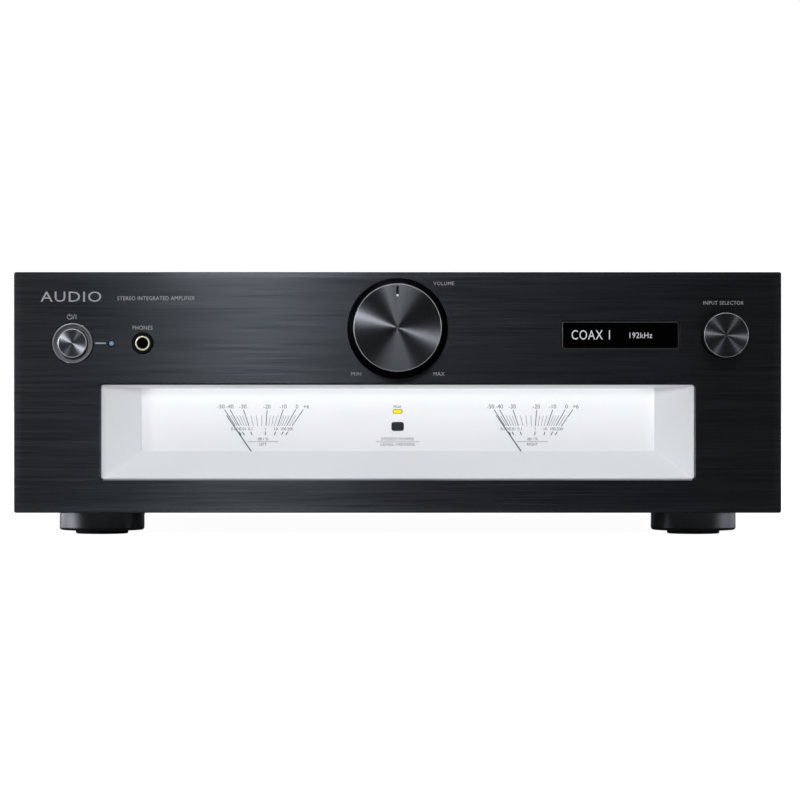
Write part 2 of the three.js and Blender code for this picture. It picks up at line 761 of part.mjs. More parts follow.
// A toroidal transformer standing on the base plate.
function powerTransformer() {
  const { x, y, radius, hole, top, round } = TRANSFORMER;
  const low = BASE_TOP + GAP;
  return upright(x, y, [
    [hole, low],
    [radius - round, low],
    [radius, low + round],
    [radius, top - round],
    [radius - round, top],
    [hole, top],
    [hole, low],
  ], 20);
}

// The board under the rear sockets, on four posts.
function mainBoard() {
  const [left, right, front, back] = [26, 200, -95, 178];
  const inset = 8;
  const postRadius = 3;
  const [postLow, postHigh] = [BASE_TOP + GAP, BOARD_LOW + 0.5];
  const profile = [[0, postLow], [postRadius, postLow], [postRadius, postHigh], [0, postHigh]];
  const posts = [];
  for (const x of [left + inset, right - inset]) {
    for (const y of [front + inset, back - inset]) posts.push(upright(x, y, profile, 8));
  }
  return join(block(left, right, front, back, BOARD_LOW, BOARD_LOW + BOARD_THICKNESS), ...posts);
}

function capacitor(x) {
  const { y, radius, height } = CAPACITOR;
  const low = BOARD_LOW + BOARD_THICKNESS + GAP;
  const top = low + height;
  const bevel = 1.5;
  return upright(x, y, [
    [0, low],
    [radius, low],
    [radius, top - bevel],
    [radius - bevel, top],
    [0, top],
  ], 14);
}

// Upright fins along a thick back wall, which the output transistors are clamped to.
function heatsink() {
  const back = { x: -30, thickness: 6 };
  const fins = { count: 11, pitch: 13, thickness: 2.4, length: 38, first: 25 };
  const [low, high] = [BASE_TOP + GAP, 112];
  const shape = new THREE.Shape();
  const lastY = fins.first + (fins.count - 1) * fins.pitch + fins.thickness;
  const root = back.x + back.thickness;
  shape.moveTo(back.x, fins.first);
  for (let i = 0; i < fins.count; i += 1) {
    const y = fins.first + i * fins.pitch;
    shape.lineTo(root + fins.length, y);
    shape.lineTo(root + fins.length, y + fins.thickness);
    if (i + 1 < fins.count) {
      shape.lineTo(root, y + fins.thickness);
      shape.lineTo(root, y + fins.pitch);
    }
  }
  shape.lineTo(back.x, lastY);
  return new THREE.ExtrudeGeometry(shape, { depth: high - low, bevelEnabled: false }).translate(0, 0, low);
}

function placeInside() {
  place('power_transformer', powerTransformer(), blackSteel);
  place('main_board', mainBoard(), circuitGreen);
  place('reservoir_capacitor_left', capacitor(CAPACITOR.xs[0]), blackPlastic);
  place('reservoir_capacitor_right', capacitor(CAPACITOR.xs[1]), blackPlastic);
  place('heatsink', heatsink(), heatsinkGrey);
}

// ---------------------------------------------------------------- rear panel and sockets

const OUT = REAR + GAP; // the plane that the sockets' flanges stand on

const INLET = { x: -176, z: 50, cavityWidth: 24.6, cavityHeight: 16.4, cavityDepth: 15.5 };
const INLET_FLANGE = { width: 32, height: 25, thickness: 2 };
const LINE_JACKS = { x: 136, z: 112, width: 92, height: 40, thickness: 2 };
const DIGITAL = { x: 136, z: 62, width: 92, height: 24, thickness: 2 };
const GROUND = { x: 196, z: 112, stud: 2, radius: 5.5, length: 8 };
const STUD_RADIUS = 2.9; // of the speaker terminals
const BLOCK_MARGIN = 2; // between the edge of a socket block's flange and its body
const REAR_VENT = { first: -120, pitch: 12, count: 12, width: 3.6, low: 98, high: 128 };

// A socket block: a flange outside the rear panel and a body through it.
function socketBlock({ x, z, width, height, thickness }, margin, inside) {
  const flange = slab(x, z, width, height, 2, OUT, OUT + thickness);
  const body = slab(x, z, width - 2 * margin, height - 2 * margin, 1, REAR - inside, OUT + 0.5);
  return join(flange, body);
}

// The hole in the rear panel for such a block.
function blockHole({ x, z, width, height }, margin) {
  const grow = 2 * (GAP - margin);
  return slab(x, z, width + grow, height + grow, 1, REAR - SHEET - 1, REAR + 1);
}

function rearPanel() {
  const plate = crossPlate(REAR - SHEET, REAR);
  const [y0, y1] = [REAR - SHEET - 1, REAR + 1];
  const vents = [];
  for (let i = 0; i < REAR_VENT.count; i += 1) {
    const x = REAR_VENT.first + i * REAR_VENT.pitch;
    vents.push(block(x, x + REAR_VENT.width, y0, y1, REAR_VENT.low, REAR_VENT.high));
  }
  const studHoles = TERMINALS.offsets.map((offset) => (
    bar(TERMINALS.x + offset, TERMINALS.z, STUD_RADIUS + 1.6, y0, y1, 10)
  ));
  return cut(plate, ...vents, ...studHoles,
    blockHole({ ...INLET, ...INLET_FLANGE }, BLOCK_MARGIN),
    blockHole(LINE_JACKS, BLOCK_MARGIN),
    blockHole(DIGITAL, BLOCK_MARGIN),
    bar(GROUND.x, GROUND.z, GROUND.stud + GAP, y0, y1, 10));
}

// The mains inlet: a cavity with three flat pins, and two corners cut off as on its plug.
function mainsInlet() {
  const { x, z, cavityWidth, cavityHeight, cavityDepth } = INLET;
  const mouth = OUT + INLET_FLANGE.thickness;
  const floor = mouth - cavityDepth;
  const [halfWidth, halfHeight] = [cavityWidth / 2, cavityHeight / 2];
  const corner = 4.5;
  const outline = new THREE.Shape();
  outline.moveTo(x - halfWidth, z - halfHeight);
  outline.lineTo(x + halfWidth, z - halfHeight);
  outline.lineTo(x + halfWidth, z + halfHeight - corner);
  outline.lineTo(x + halfWidth - corner, z + halfHeight);
  outline.lineTo(x - halfWidth + corner, z + halfHeight);
  outline.lineTo(x - halfWidth, z + halfHeight - corner);
  const cavity = pushed(outline, floor, mouth + 1);
  const housing = cut(socketBlock({ ...INLET, ...INLET_FLANGE }, BLOCK_MARGIN, cavityDepth + 4), cavity);
  const pin = (dx, dz) => block(x + dx - 1, x + dx + 1, floor - 1, mouth - 3, z + dz - 2, z + dz + 2);
  return join(housing, pin(-7, -1), pin(7, -1), pin(0, 4));
}

const PHONO = { radius: 4.15, length: 9, pinHole: 1.6, holeFloor: 2 };

// The outer contact of a phono socket, with the hole for the plug's pin.
function phonoBarrel(x, z, base) {
  const { radius, length, pinHole, holeFloor } = PHONO;
  return turned(x, z, [
    [0, base - 0.5],
    [radius, base - 0.5],
    [radius, base + length],
    [pinHole, base + length],
    [pinHole, base + holeFloor],
    [0, base + holeFloor],
  ], 12);
}

function lineJacks() {
  const base = OUT + LINE_JACKS.thickness;
  const barrels = [];
  for (const across of [-33, -11, 11, 33]) {
    for (const up of [-9.5, 9.5]) barrels.push(phonoBarrel(LINE_JACKS.x + across, LINE_JACKS.z + up, base));
  }
  return join(socketBlock(LINE_JACKS, BLOCK_MARGIN, 10), ...barrels);
}

const COAXIAL_OFFSETS = [-38, -23];
const OPTICAL = { width: 6.4, height: 6.4, frame: 2.3 };
const USB = { width: 8.6, height: 7.8, frame: 2 };
const PLUG_DEPTH = 9;

// Two coaxial, two optical and one USB socket.
function digitalSockets() {
  const { x, z } = DIGITAL;
  const face = OUT + DIGITAL.thickness;
  const mouth = face + 1;
  const barrels = COAXIAL_OFFSETS.map((offset) => phonoBarrel(x + offset, z, face));
  const sockets = [[-6, OPTICAL], [9, OPTICAL], [31, USB]];
  const frames = sockets.map(([offset, { width, height, frame }]) => (
    slab(x + offset, z, width + 2 * frame, height + 2 * frame, 1, face - 0.5, mouth)
  ));
  const cavities = sockets.map(([offset, { width, height }]) => (
    slab(x + offset, z, width, height, 0.6, mouth - PLUG_DEPTH, mouth + 1)
  ));
  return cut(join(socketBlock(DIGITAL, BLOCK_MARGIN, 10), ...barrels, ...frames), ...cavities);
}

// The knurled screw that a turntable's earth lead is held by.
function groundTerminal() {
  const { x, z, stud, radius, length } = GROUND;
  const studEnd = REAR - 7;
  const base = OUT + 1;
  const end = base + length;
  const chamfer = 0.6;
  return turned(x, z, [
    [0, studEnd],
    [stud, studEnd],
    [stud, base],
    [radius, base],
    [radius, end - chamfer],
    [radius - chamfer, end],
    [0, end],
  ], 16);
}

const PLATE_FACE = OUT + TERMINAL_PLATE;
const COLLAR_FACE = PLATE_FACE + TERMINAL_COLLAR;
const WASHER_FACE = COLLAR_FACE + GAP + TERMINAL_WASHER;
const CAP_BASE = WASHER_FACE + GAP;
const CAP_END = DEPTH / 2;
const CAP_RADIUS = 8.2;
const CAP_WALL = 1.5;

function terminalBlock() {
  const { x, z, offsets } = TERMINALS;
  const plate = slab(x, z, 106, 34, 3, OUT, PLATE_FACE);
  const posts = offsets.flatMap((offset) => [
    bar(x + offset, z, CAP_RADIUS + 0.2, PLATE_FACE - 0.5, COLLAR_FACE, 16),
    bar(x + offset, z, STUD_RADIUS, REAR - 8, CAP_END - CAP_WALL - GAP, 10),
  ]);
  return join(plate, ...posts);
}

// The washer that clamps the cable. It slides along the stud as the cap is turned.
function speakerWasher(x) {
  const [y0, y1] = [COLLAR_FACE + GAP, WASHER_FACE];
  const inner = STUD_RADIUS + GAP;
  return turnedRing(x, TERMINALS.z, [[inner, y0], [CAP_RADIUS, y0], [CAP_RADIUS, y1], [inner, y1]], 16);
}

function speakerCap(x) {
  const bore = STUD_RADIUS + GAP;
  const chamfer = 1;
  return turned(x, TERMINALS.z, [
    [0, CAP_END - CAP_WALL],
    [bore, CAP_END - CAP_WALL],
    [bore, CAP_BASE],
    [CAP_RADIUS, CAP_BASE],
    [CAP_RADIUS, CAP_END - chamfer],
    [CAP_RADIUS - chamfer, CAP_END],
    [0, CAP_END],
  ], 16);
}

function placeRear() {
  place('rear_panel', rearPanel(), blackSteel);
  place('mains_inlet', mainsInlet(), blackPlastic);
  place('line_jacks', lineJacks(), gold);
  place('digital_sockets', digitalSockets(), blackPlastic);
  place('ground_terminal', groundTerminal(), gold);
  place('speaker_terminal_block', terminalBlock(), blackPlastic);
  TERMINALS.offsets.forEach((offset, i) => {
    place(`speaker_washer_${i + 1}`, speakerWasher(TERMINALS.x + offset), gold);
    place(`speaker_cap_${i + 1}`, speakerCap(TERMINALS.x + offset), blackPlastic);
  });
}

placeCase();
placeFeet();
placeMeters();
placeRotaryControls();
placeSmallControls();
placeDisplay();
placeInside();
placeRear();

export default amplifier;
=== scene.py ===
import json
import math
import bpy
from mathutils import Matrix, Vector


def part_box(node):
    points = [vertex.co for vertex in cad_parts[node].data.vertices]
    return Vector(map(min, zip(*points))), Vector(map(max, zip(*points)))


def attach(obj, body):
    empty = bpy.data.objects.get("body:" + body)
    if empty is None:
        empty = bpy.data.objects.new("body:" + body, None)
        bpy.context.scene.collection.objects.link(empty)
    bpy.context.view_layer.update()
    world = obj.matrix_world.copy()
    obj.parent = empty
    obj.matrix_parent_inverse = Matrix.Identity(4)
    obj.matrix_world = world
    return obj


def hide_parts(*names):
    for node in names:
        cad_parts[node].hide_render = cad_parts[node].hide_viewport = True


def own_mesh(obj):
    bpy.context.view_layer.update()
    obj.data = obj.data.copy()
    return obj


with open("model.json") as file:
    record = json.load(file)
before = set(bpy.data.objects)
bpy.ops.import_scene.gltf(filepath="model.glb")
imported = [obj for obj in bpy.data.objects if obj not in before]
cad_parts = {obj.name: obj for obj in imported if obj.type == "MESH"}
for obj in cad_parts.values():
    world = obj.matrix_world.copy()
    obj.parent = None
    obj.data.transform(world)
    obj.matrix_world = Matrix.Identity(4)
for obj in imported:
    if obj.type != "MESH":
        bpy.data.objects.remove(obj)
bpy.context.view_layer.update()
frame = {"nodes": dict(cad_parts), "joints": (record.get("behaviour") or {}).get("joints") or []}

from types import SimpleNamespace

import bmesh
import bpy
from mathutils import Vector
from mathutils.geometry import tessellate_polygon

# The looks of a black stereo integrated amplifier. Shapes are worked out in millimetres, in the same frame
# as the CAD: +Z up, the front facing -Y. piece() turns them into metres.

# ---------------------------------------------------------------- driving dimensions

GAP = 0.3  # clearance between pieces that touch
CREASE = 32  # degrees: sharper edges stay sharp
SHEET = 1.2  # thickness of the folded steel sheet

# The lit recess: rectangles at a depth behind the front panel's face, as in the CAD.
RECESS_STATIONS = [
    dict(depth=5.1, half_width=166.0, low=31.8, high=84.7),
    dict(depth=8.1, half_width=163.8, low=33.0, high=84.2),
    dict(depth=20.0, half_width=145.4, low=47.3, high=82.8),
]
RECESS_WALL = 1.5

# The meter scales, in degrees from upright about each needle's pivot, and in millimetres.
SCALE_ANGLES = [-33.3, -29.4, -18.4, 4.2, 19.3, 29.4, 34.7]
LEVEL_MARKS = ["-50", "-40", "-30", "-20", "-10", "0", "+6"]
LEVEL_SHIFTS = [-2.0, -0.1, -0.35, -0.1, -0.1, 0.75, 1.7]  # of a label from the end of its line
POWER_MARKS = ["0.001", "0.01", "0.1", "1", "10", "100", "200"]
POWER_SHIFTS = [-1.1, 1.0, 0.15, 0, -0.3, -0.7, 0.2]
MINOR_STEPS = [2, 4, 4, 4, 4, 2]  # from each mark to the next
SCALE_LOW = 61.6
SCALE_HIGH = 70.85
SCALE_MINOR_HIGH = 67.5
STUB = (56.4, 58.3)  # the short marks under the power numbers

LINE_PITCH = 22  # between the columns of line jacks
TERMINAL_OFFSETS = [-40, -16, 16, 40]
TERMINAL_BORE = 3.2  # radius of a washer's and a cap's hole
USB_OFFSET = 31  # from the middle of the digital sockets


def cad(node):
    """The box of a CAD node at rest, in millimetres."""
    low, high = (corner * 1000 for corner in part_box(node))
    size = high - low
    centre = (low + high) / 2
    return SimpleNamespace(
        x0=low.x, x1=high.x, y0=low.y, y1=high.y, z0=low.z, z1=high.z,
        x=centre.x, y=centre.y, z=centre.z,
        width=size.x, depth=size.y, height=size.z, radius=size.x / 2,
    )


PANEL = cad("front_panel")
FACE = PANEL.y0
COVER = cad("top_cover")
REAR = cad("rear_panel")
VOLUME = cad("volume_knob")
SELECTOR = cad("selector_knob")
BUTTON = cad("power_button")
RING = cad("power_button_ring")
LED = cad("power_led")
PHONES = cad("headphone_sleeve")
DISPLAY = cad("display_window")
WINDOW = cad("meter_window")
DIAL = cad("meter_dial")

# ---------------------------------------------------------------- shape helpers


class Shape:
    """The points and faces of one piece, in millimetres. Each face has the number of its look."""

    def __init__(self):
        self.points = []
        self.faces = []
        self.looks = []

    def add(self, points, faces, look=0):
        start = len(self.points)
        self.points += [tuple(point) for point in points]
        self.faces += [tuple(start + i for i in face) for face in faces]
        self.looks += look if isinstance(look, list) else [look] * len(faces)


def clean_mesh(name, shape, looks, centre=Vector()):
    """A shape as a mesh in metres about its centre, with its joins merged and its faces outward."""
    mesh = bpy.data.meshes.new(name)
    mesh.from_pydata([(Vector(point) - centre) / 1000 for point in shape.points], [], shape.faces)
    mesh.polygons.foreach_set("material_index", shape.looks)
    for look in looks:
        mesh.materials.append(look)
    tidy = bmesh.new()
    tidy.from_mesh(mesh)
    bmesh.ops.remove_doubles(tidy, verts=tidy.verts, dist=1e-7)
    bmesh.ops.dissolve_degenerate(tidy, edges=tidy.edges, dist=1e-8)
    bmesh.ops.recalc_face_normals(tidy, faces=tidy.faces)
    tidy.to_mesh(mesh)
    tidy.free()
    return mesh


def smooth(mesh, crease):
    """Smooth shading, with edges sharper than crease degrees left sharp."""
    mesh.shade_smooth()
    mesh.set_sharp_from_angle(angle=math.radians(crease))


def cut_out(obj, cutter, look):
    """Cuts a shape out of an object; the new faces take a look of their own."""
    tool = bpy.data.objects.new("tool", clean_mesh("tool", cutter, [look]))
    bpy.context.scene.collection.objects.link(tool)
    cut = obj.modifiers.new("cut", "BOOLEAN")
    cut.operation = "DIFFERENCE"
    cut.object = tool
    cut.solver = "EXACT"
    cut.material_mode = "TRANSFER"
    bpy.context.view_layer.update()
    obj.data = bpy.data.meshes.new_from_object(obj.evaluated_get(bpy.context.evaluated_depsgraph_get()))
    obj.modifiers.remove(cut)
    smooth(obj.data, CREASE)
    bpy.data.objects.remove(tool)


def piece(name, shape, looks, body="chassis", stands_for=(), origin=(0, 0, 0), bevel=0.0, crease=CREASE,
          groove=None):
    """A mesh object from a shape, riding on a CAD body. A groove is cut out of it and has its last look."""
    centre = Vector(origin)
    mesh = clean_mesh(name, shape, looks, centre)
    smooth(mesh, crease)
    obj = bpy.data.objects.new(name, mesh)
    obj.location = centre / 1000
    bpy.context.scene.collection.objects.link(obj)
    if groove:
        cut_out(obj, groove, looks[-1])
    if bevel:
        soften(obj, bevel)
    obj.modifiers.new("even_shading", "WEIGHTED_NORMAL").keep_sharp = True
    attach(obj, body)
    if stands_for:
        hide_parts(*stands_for)
    return obj


def middle_of(box_):
    """The middle of a CAD box, as a piece's origin."""
    return (box_.x, box_.y, box_.z)


def round_about(steps):
    """Equal angles round a circle."""
    return [2 * math.pi * i / steps for i in range(steps)]


def soften(obj, width):
    """Rounds the sharp edges of an object by a width in millimetres."""
    bevel = obj.modifiers.new("soft_edges", "BEVEL")
    bevel.width = width / 1000
    bevel.segments = 2
    bevel.limit_method = "ANGLE"
    bevel.angle_limit = math.radians(40)
    bevel.use_clamp_overlap = True


def filleted(corners, steps=4):
    """An open outline with its corners rounded, as (a, b, look).

    Each corner is (a, b, fillet, look). The fillet and the look are 0 where they are left out.
    """
    corners = [(*corner, 0, 0)[:4] for corner in corners]
    out = []
    for i, (a, b, fillet, look) in enumerate(corners):
        if not fillet or i in (0, len(corners) - 1):
            out.append((a, b, look))
            continue
        here = Vector((a, b))
        back = Vector(corners[i - 1][:2]) - here
        ahead = Vector(corners[i + 1][:2]) - here
        half = back.angle(ahead) / 2
        cut = min(fillet / math.tan(half), 0.49 * back.length, 0.49 * ahead.length)
        radius = cut * math.tan(half)
        start = here + back.normalized() * cut
        end = here + ahead.normalized() * cut
        centre = here + (back.normalized() + ahead.normalized()).normalized() * (radius / math.sin(half))
        for k in range(steps + 1):
            spoke = (start - centre).lerp(end - centre, k / steps).normalized() * radius
            out.append((centre.x + spoke.x, centre.y + spoke.y, look))
    return out


def ribbed(count, deep):
    """A ripple of equal ribs, for turn()."""
    return lambda angle: deep * (1 + math.cos(count * angle)) / 2


def turn(shape, at, corners, steps, arc=4, upright=False, closed=False, ripple=None, band=0.05):
    """A piece turned about Y at (at.x, at.z), or about Z at (at.x, at.y) if upright, from filleted() corners.

    ripple(angle) is what a knurl takes off the radius, within a band below the widest.
    """
    profile = filleted(corners, arc)
    widest = max(radius for radius, _, _ in profile)
    rings, points = [], []
    for radius, along, _ in profile:
        on_axis = radius < 1e-6
        rings.append([len(points)] * steps if on_axis else list(range(len(points), len(points) + steps)))
        for angle in [0] if on_axis else round_about(steps):
            r = radius - ripple(angle) if ripple and radius > widest - band else radius
            u, v = at.x + r * math.cos(angle), (at.y if upright else at.z) + r * math.sin(angle)
            points.append((u, v, along) if upright else (u, along, v))
    faces, looks = [], []
    for k in range(len(rings) if closed else len(rings) - 1):
        here, after = rings[k], rings[(k + 1) % len(rings)]
        for i in range(steps):
            j = (i + 1) % steps
            face = list(dict.fromkeys([here[i], here[j], after[j], after[i]]))
            if len(face) > 2:
                faces.append(face)
                looks.append(profile[k][2])
    shape.add(points, faces, looks)


def rounded_rectangle(x0, x1, z0, z1, corner, steps=5):
    """An outline that can grow: call it with the amount."""

    def outline(grow=0.0):
        left, right, low, high = x0 - grow, x1 + grow, z0 - grow, z1 + grow
        r = max(corner + grow, 0.05)
        points = []
        for x, z, first in ((right - r, low + r, -90), (right - r, high - r, 0), (left + r, high - r, 90),
                            (left + r, low + r, 180)):
            for k in range(steps + 1):
                angle = math.radians(first + 90 * k / steps)
                points.append((x + r * math.cos(angle), z + r * math.sin(angle)))
        return points

    return outline


def rounded_box(box_, corner, grow=0.0):
    """The outline of a CAD node's box as seen from the front."""
    return rounded_rectangle(box_.x0 - grow, box_.x1 + grow, box_.z0 - grow, box_.z1 + grow, corner)


def circle(x, z, radius, steps=64):
    """A round outline."""

    def outline(grow=0.0):
        reach = radius + grow
        return [(x + reach * math.cos(a), z + reach * math.sin(a)) for a in round_about(steps)]

    return outline


def cross(x, z, length, width):
    """The outline of a cross recess."""

    def outline(grow=0.0):
        a, b = length / 2 + grow, width / 2 + grow
        corners = [(b, b), (b, a), (-b, a), (-b, b), (-a, b), (-a, -b), (-b, -b), (-b, -a), (b, -a), (b, -b),
                   (a, -b), (a, b)]
        return [(x + u, z + v) for u, v in corners]

    return outline


def fill(shape, place, loops, depth, look=0):
    """A flat face with holes, from a list of loops of (u, v)."""
    flat = [[Vector((u, v, 0)) for u, v in loop] for loop in loops]
    triangles = tessellate_polygon(flat)
    points = [place(p.x, p.y, depth) for loop in flat for p in loop]
    shape.add(points, triangles, look)


def loft(shape, rings, look=0, closed=False, capped=False):
    """Joins each ring of points to the next, and the last to the first if closed; capped fills both ends."""
    count = len(rings[0])
    faces = []
    for k in range(len(rings) if closed else len(rings) - 1):
        here, after = k * count, (k + 1) % len(rings) * count
        for i in range(count):
            j = (i + 1) % count
            faces.append((here + i, here + j, after + j, after + i))
    if capped:
        last = (len(rings) - 1) * count
        faces += [tuple(range(count)), tuple(range(last, last + count))]
    shape.add([point for ring in rings for point in ring], faces, look)


def wall(shape, place, outline, profile, look=0):
    """Joins an outline at each (grow, depth) of a profile to the next."""
    loft(shape, [[place(u, v, depth) for u, v in outline(grow)] for grow, depth in profile], look)


def plate(shape, place, edge, through=(), pockets=(), hole_look=0, edge_look=0):
    """A plate: edge and each hole are (outline, profile), and a profile runs from the face to the back.

    A pocket ends in a floor and leaves the back whole.
    """
    outline, profile = edge
    cuts = [*through, *pockets]
    front = [outline(profile[0][0])] + [o(p[0][0]) for o, p in cuts]
    back = [outline(profile[-1][0])] + [o(p[-1][0]) for o, p in through]
    fill(shape, place, front, profile[0][1])
    fill(shape, place, back, profile[-1][1])
    wall(shape, place, outline, profile, edge_look)
    for o, p in cuts:
        wall(shape, place, o, p, hole_look)
    for o, p in pockets:
        fill(shape, place, [o(p[-1][0])], p[-1][1], hole_look)


def eased(back, radius=0.4, back_radius=0.2):
    """The edge profile of a plate with rounded edges, from the face to the back."""
    turns = [math.pi / 2 * k / 3 for k in range(4)]
    profile = [(radius * math.sin(a) - radius, radius - radius * math.cos(a)) for a in turns]
    return profile + [(0, back - back_radius), (-back_radius, back)]


def bored(back, radius=0.25):
    """The edge profile of a hole through a plate, with a small chamfer at the face."""
    return [(radius, 0), (0, radius), (0, back)]


# Places for flat work: u and v lie in the face, and depth goes into it.
def facing_front(y):
    return lambda u, v, depth: (u, y + depth, v)


def facing_rear(y):
    return lambda u, v, depth: (u, y - depth, v)


def facing_left(x):
    return lambda u, v, depth: (x + depth, u, v)


def facing_right(x):
    return lambda u, v, depth: (x - depth, u, v)


def facing_up(z):
    return lambda u, v, depth: (u, v, z - depth)


def box(shape, x0, x1, y0, y1, z0, z1, look=0):
    points = [(x, y, z) for x in (x0, x1) for y in (y0, y1) for z in (z0, z1)]
    faces = [(0, 1, 3, 2), (4, 6, 7, 5), (0, 4, 5, 1), (2, 3, 7, 6), (0, 2, 6, 4), (1, 5, 7, 3)]
    shape.add(points, faces, look)


def tube(shape, path, radius, sides):
    """A round wire along a path of points, with closed ends."""
    path = [Vector(point) for point in path]
    rings = []
    side = None
    for i, here in enumerate(path):
        along = (path[min(i + 1, len(path) - 1)] - path[max(i - 1, 0)]).normalized()
        if side is None:
            side = along.orthogonal().normalized()
        side = (side - along * side.dot(along)).normalized()
        other = along.cross(side)
        rings.append([here + radius * (math.cos(a) * side + math.sin(a) * other) for a in round_about(sides)])
    loft(shape, rings, capped=True)


def letter_mesh(text, spacing=1.0):
    """The flat letters of a text, as points and faces at the font's own size."""
    curve = bpy.data.curves.new("letters", "FONT")
    curve.body = text
    curve.resolution_u = 3
    curve.space_character = spacing
    curve.extrude = 0.02
    holder = bpy.data.objects.new("letters", curve)
    bpy.context.scene.collection.objects.link(holder)
    bpy.context.view_layer.update()
    mesh = bpy.data.meshes.new_from_object(holder.evaluated_get(bpy.context.evaluated_depsgraph_get()))
    points = [vertex.co.copy() for vertex in mesh.vertices]
    faces = [tuple(polygon.vertices) for polygon in mesh.polygons]
    bpy.data.objects.remove(holder)
    bpy.data.curves.remove(curve)
    bpy.data.meshes.remove(mesh)
    return points, faces


CAP_HEIGHT = max(point.y for point in letter_mesh("H")[0])
PRINT_DEPTH = 0.03  # the thickness of printed letters and lines
OPEN_SPACING = 1.1  # of the letters in a text of a set length


def lettering(shape, text, x, z, cap, y, width=None, rear=False):
    """Printed letters about x on a face at y, their baseline at z. width, if given, is the text's length."""
    points, faces = letter_mesh(text, OPEN_SPACING if width else 1.0)
    left = min(point.x for point in points)
    right = max(point.x for point in points)
    tall = cap / CAP_HEIGHT
    wide = width / (right - left) if width else tall
    outwards = 1 if rear else -1
    placed = []
    for point in points:
        across = (point.x - (left + right) / 2) * wide
        lift = PRINT_DEPTH if point.z > 0 else 0.0
        placed.append((x - outwards * across, y + outwards * lift, z + point.y * tall))
    shape.add(placed, faces)


def printed(shape, y, words, rear=False):
    """Prints words of (text, x, z, cap) or (text, x, z, cap, width) on a face at y."""
    for text, x, z, cap, *width in words:
        lettering(shape, text, x, z, cap, y, *width, rear=rear)


def line(shape, x0, z0, x1, z1, width, y):
    """A printed line on a face at y."""
    start, end = Vector((x0, z0)), Vector((x1, z1))
    side = (end - start).normalized().orthogonal() * width / 2
    corners = [start + side, start - side, end - side, end + side]
    loft(shape, [[(c.x, depth, c.y) for c in corners] for depth in (y, y - PRINT_DEPTH)], capped=True)


def arc_line(shape, x, z, radius, first, last, width, y):
    """A printed arc about (x, z), its angles in degrees from +X."""
    steps = 24
    ends = [math.radians(first + (last - first) * k / steps) for k in range(steps + 1)]
    for a, b in zip(ends, ends[1:]):
        line(shape, x + radius * math.cos(a), z + radius * math.sin(a),
             x + radius * math.cos(b), z + radius * math.sin(b), width, y)


# ---------------------------------------------------------------- looks


NOISE_RANGE = (0.3, 0.7)  # most of a noise's values lie between these


class Nodes:
    """Builds up a node tree, of a material or of the world."""

    def __init__(self, tree):
        self.tree = tree

    def feed(self, socket, value):
        if isinstance(value, bpy.types.NodeSocket):
            self.tree.links.new(value, socket)
        else:
            socket.default_value = value

    def node(self, kind, *places, operation=None, **names):
        """A new node, its inputs given by place, or by name with _ for a space."""
        made = self.tree.nodes.new(kind)
        if operation:
            made.operation = operation
        for socket, value in zip(made.inputs, places):
            self.feed(socket, value)
        for name, value in names.items():
            self.feed(made.inputs[name.replace("_", " ")], value)
        return made

    def maths(self, operation, *values):
        return self.node("ShaderNodeMath", *values, operation=operation).outputs["Value"]

    def spread(self, factor, low, high, start=NOISE_RANGE[0], end=NOISE_RANGE[1], soft=False):
        """Maps a factor between start and end to low and high."""
        made = self.node("ShaderNodeMapRange", Value=factor, From_Min=start, From_Max=end,
                         To_Min=low, To_Max=high)
        if soft:
            made.interpolation_type = "SMOOTHSTEP"
        return made.outputs["Result"]

    def axes(self, vector):
        """The X, Y and Z of a vector."""
        return self.node("ShaderNodeSeparateXYZ", Vector=vector).outputs


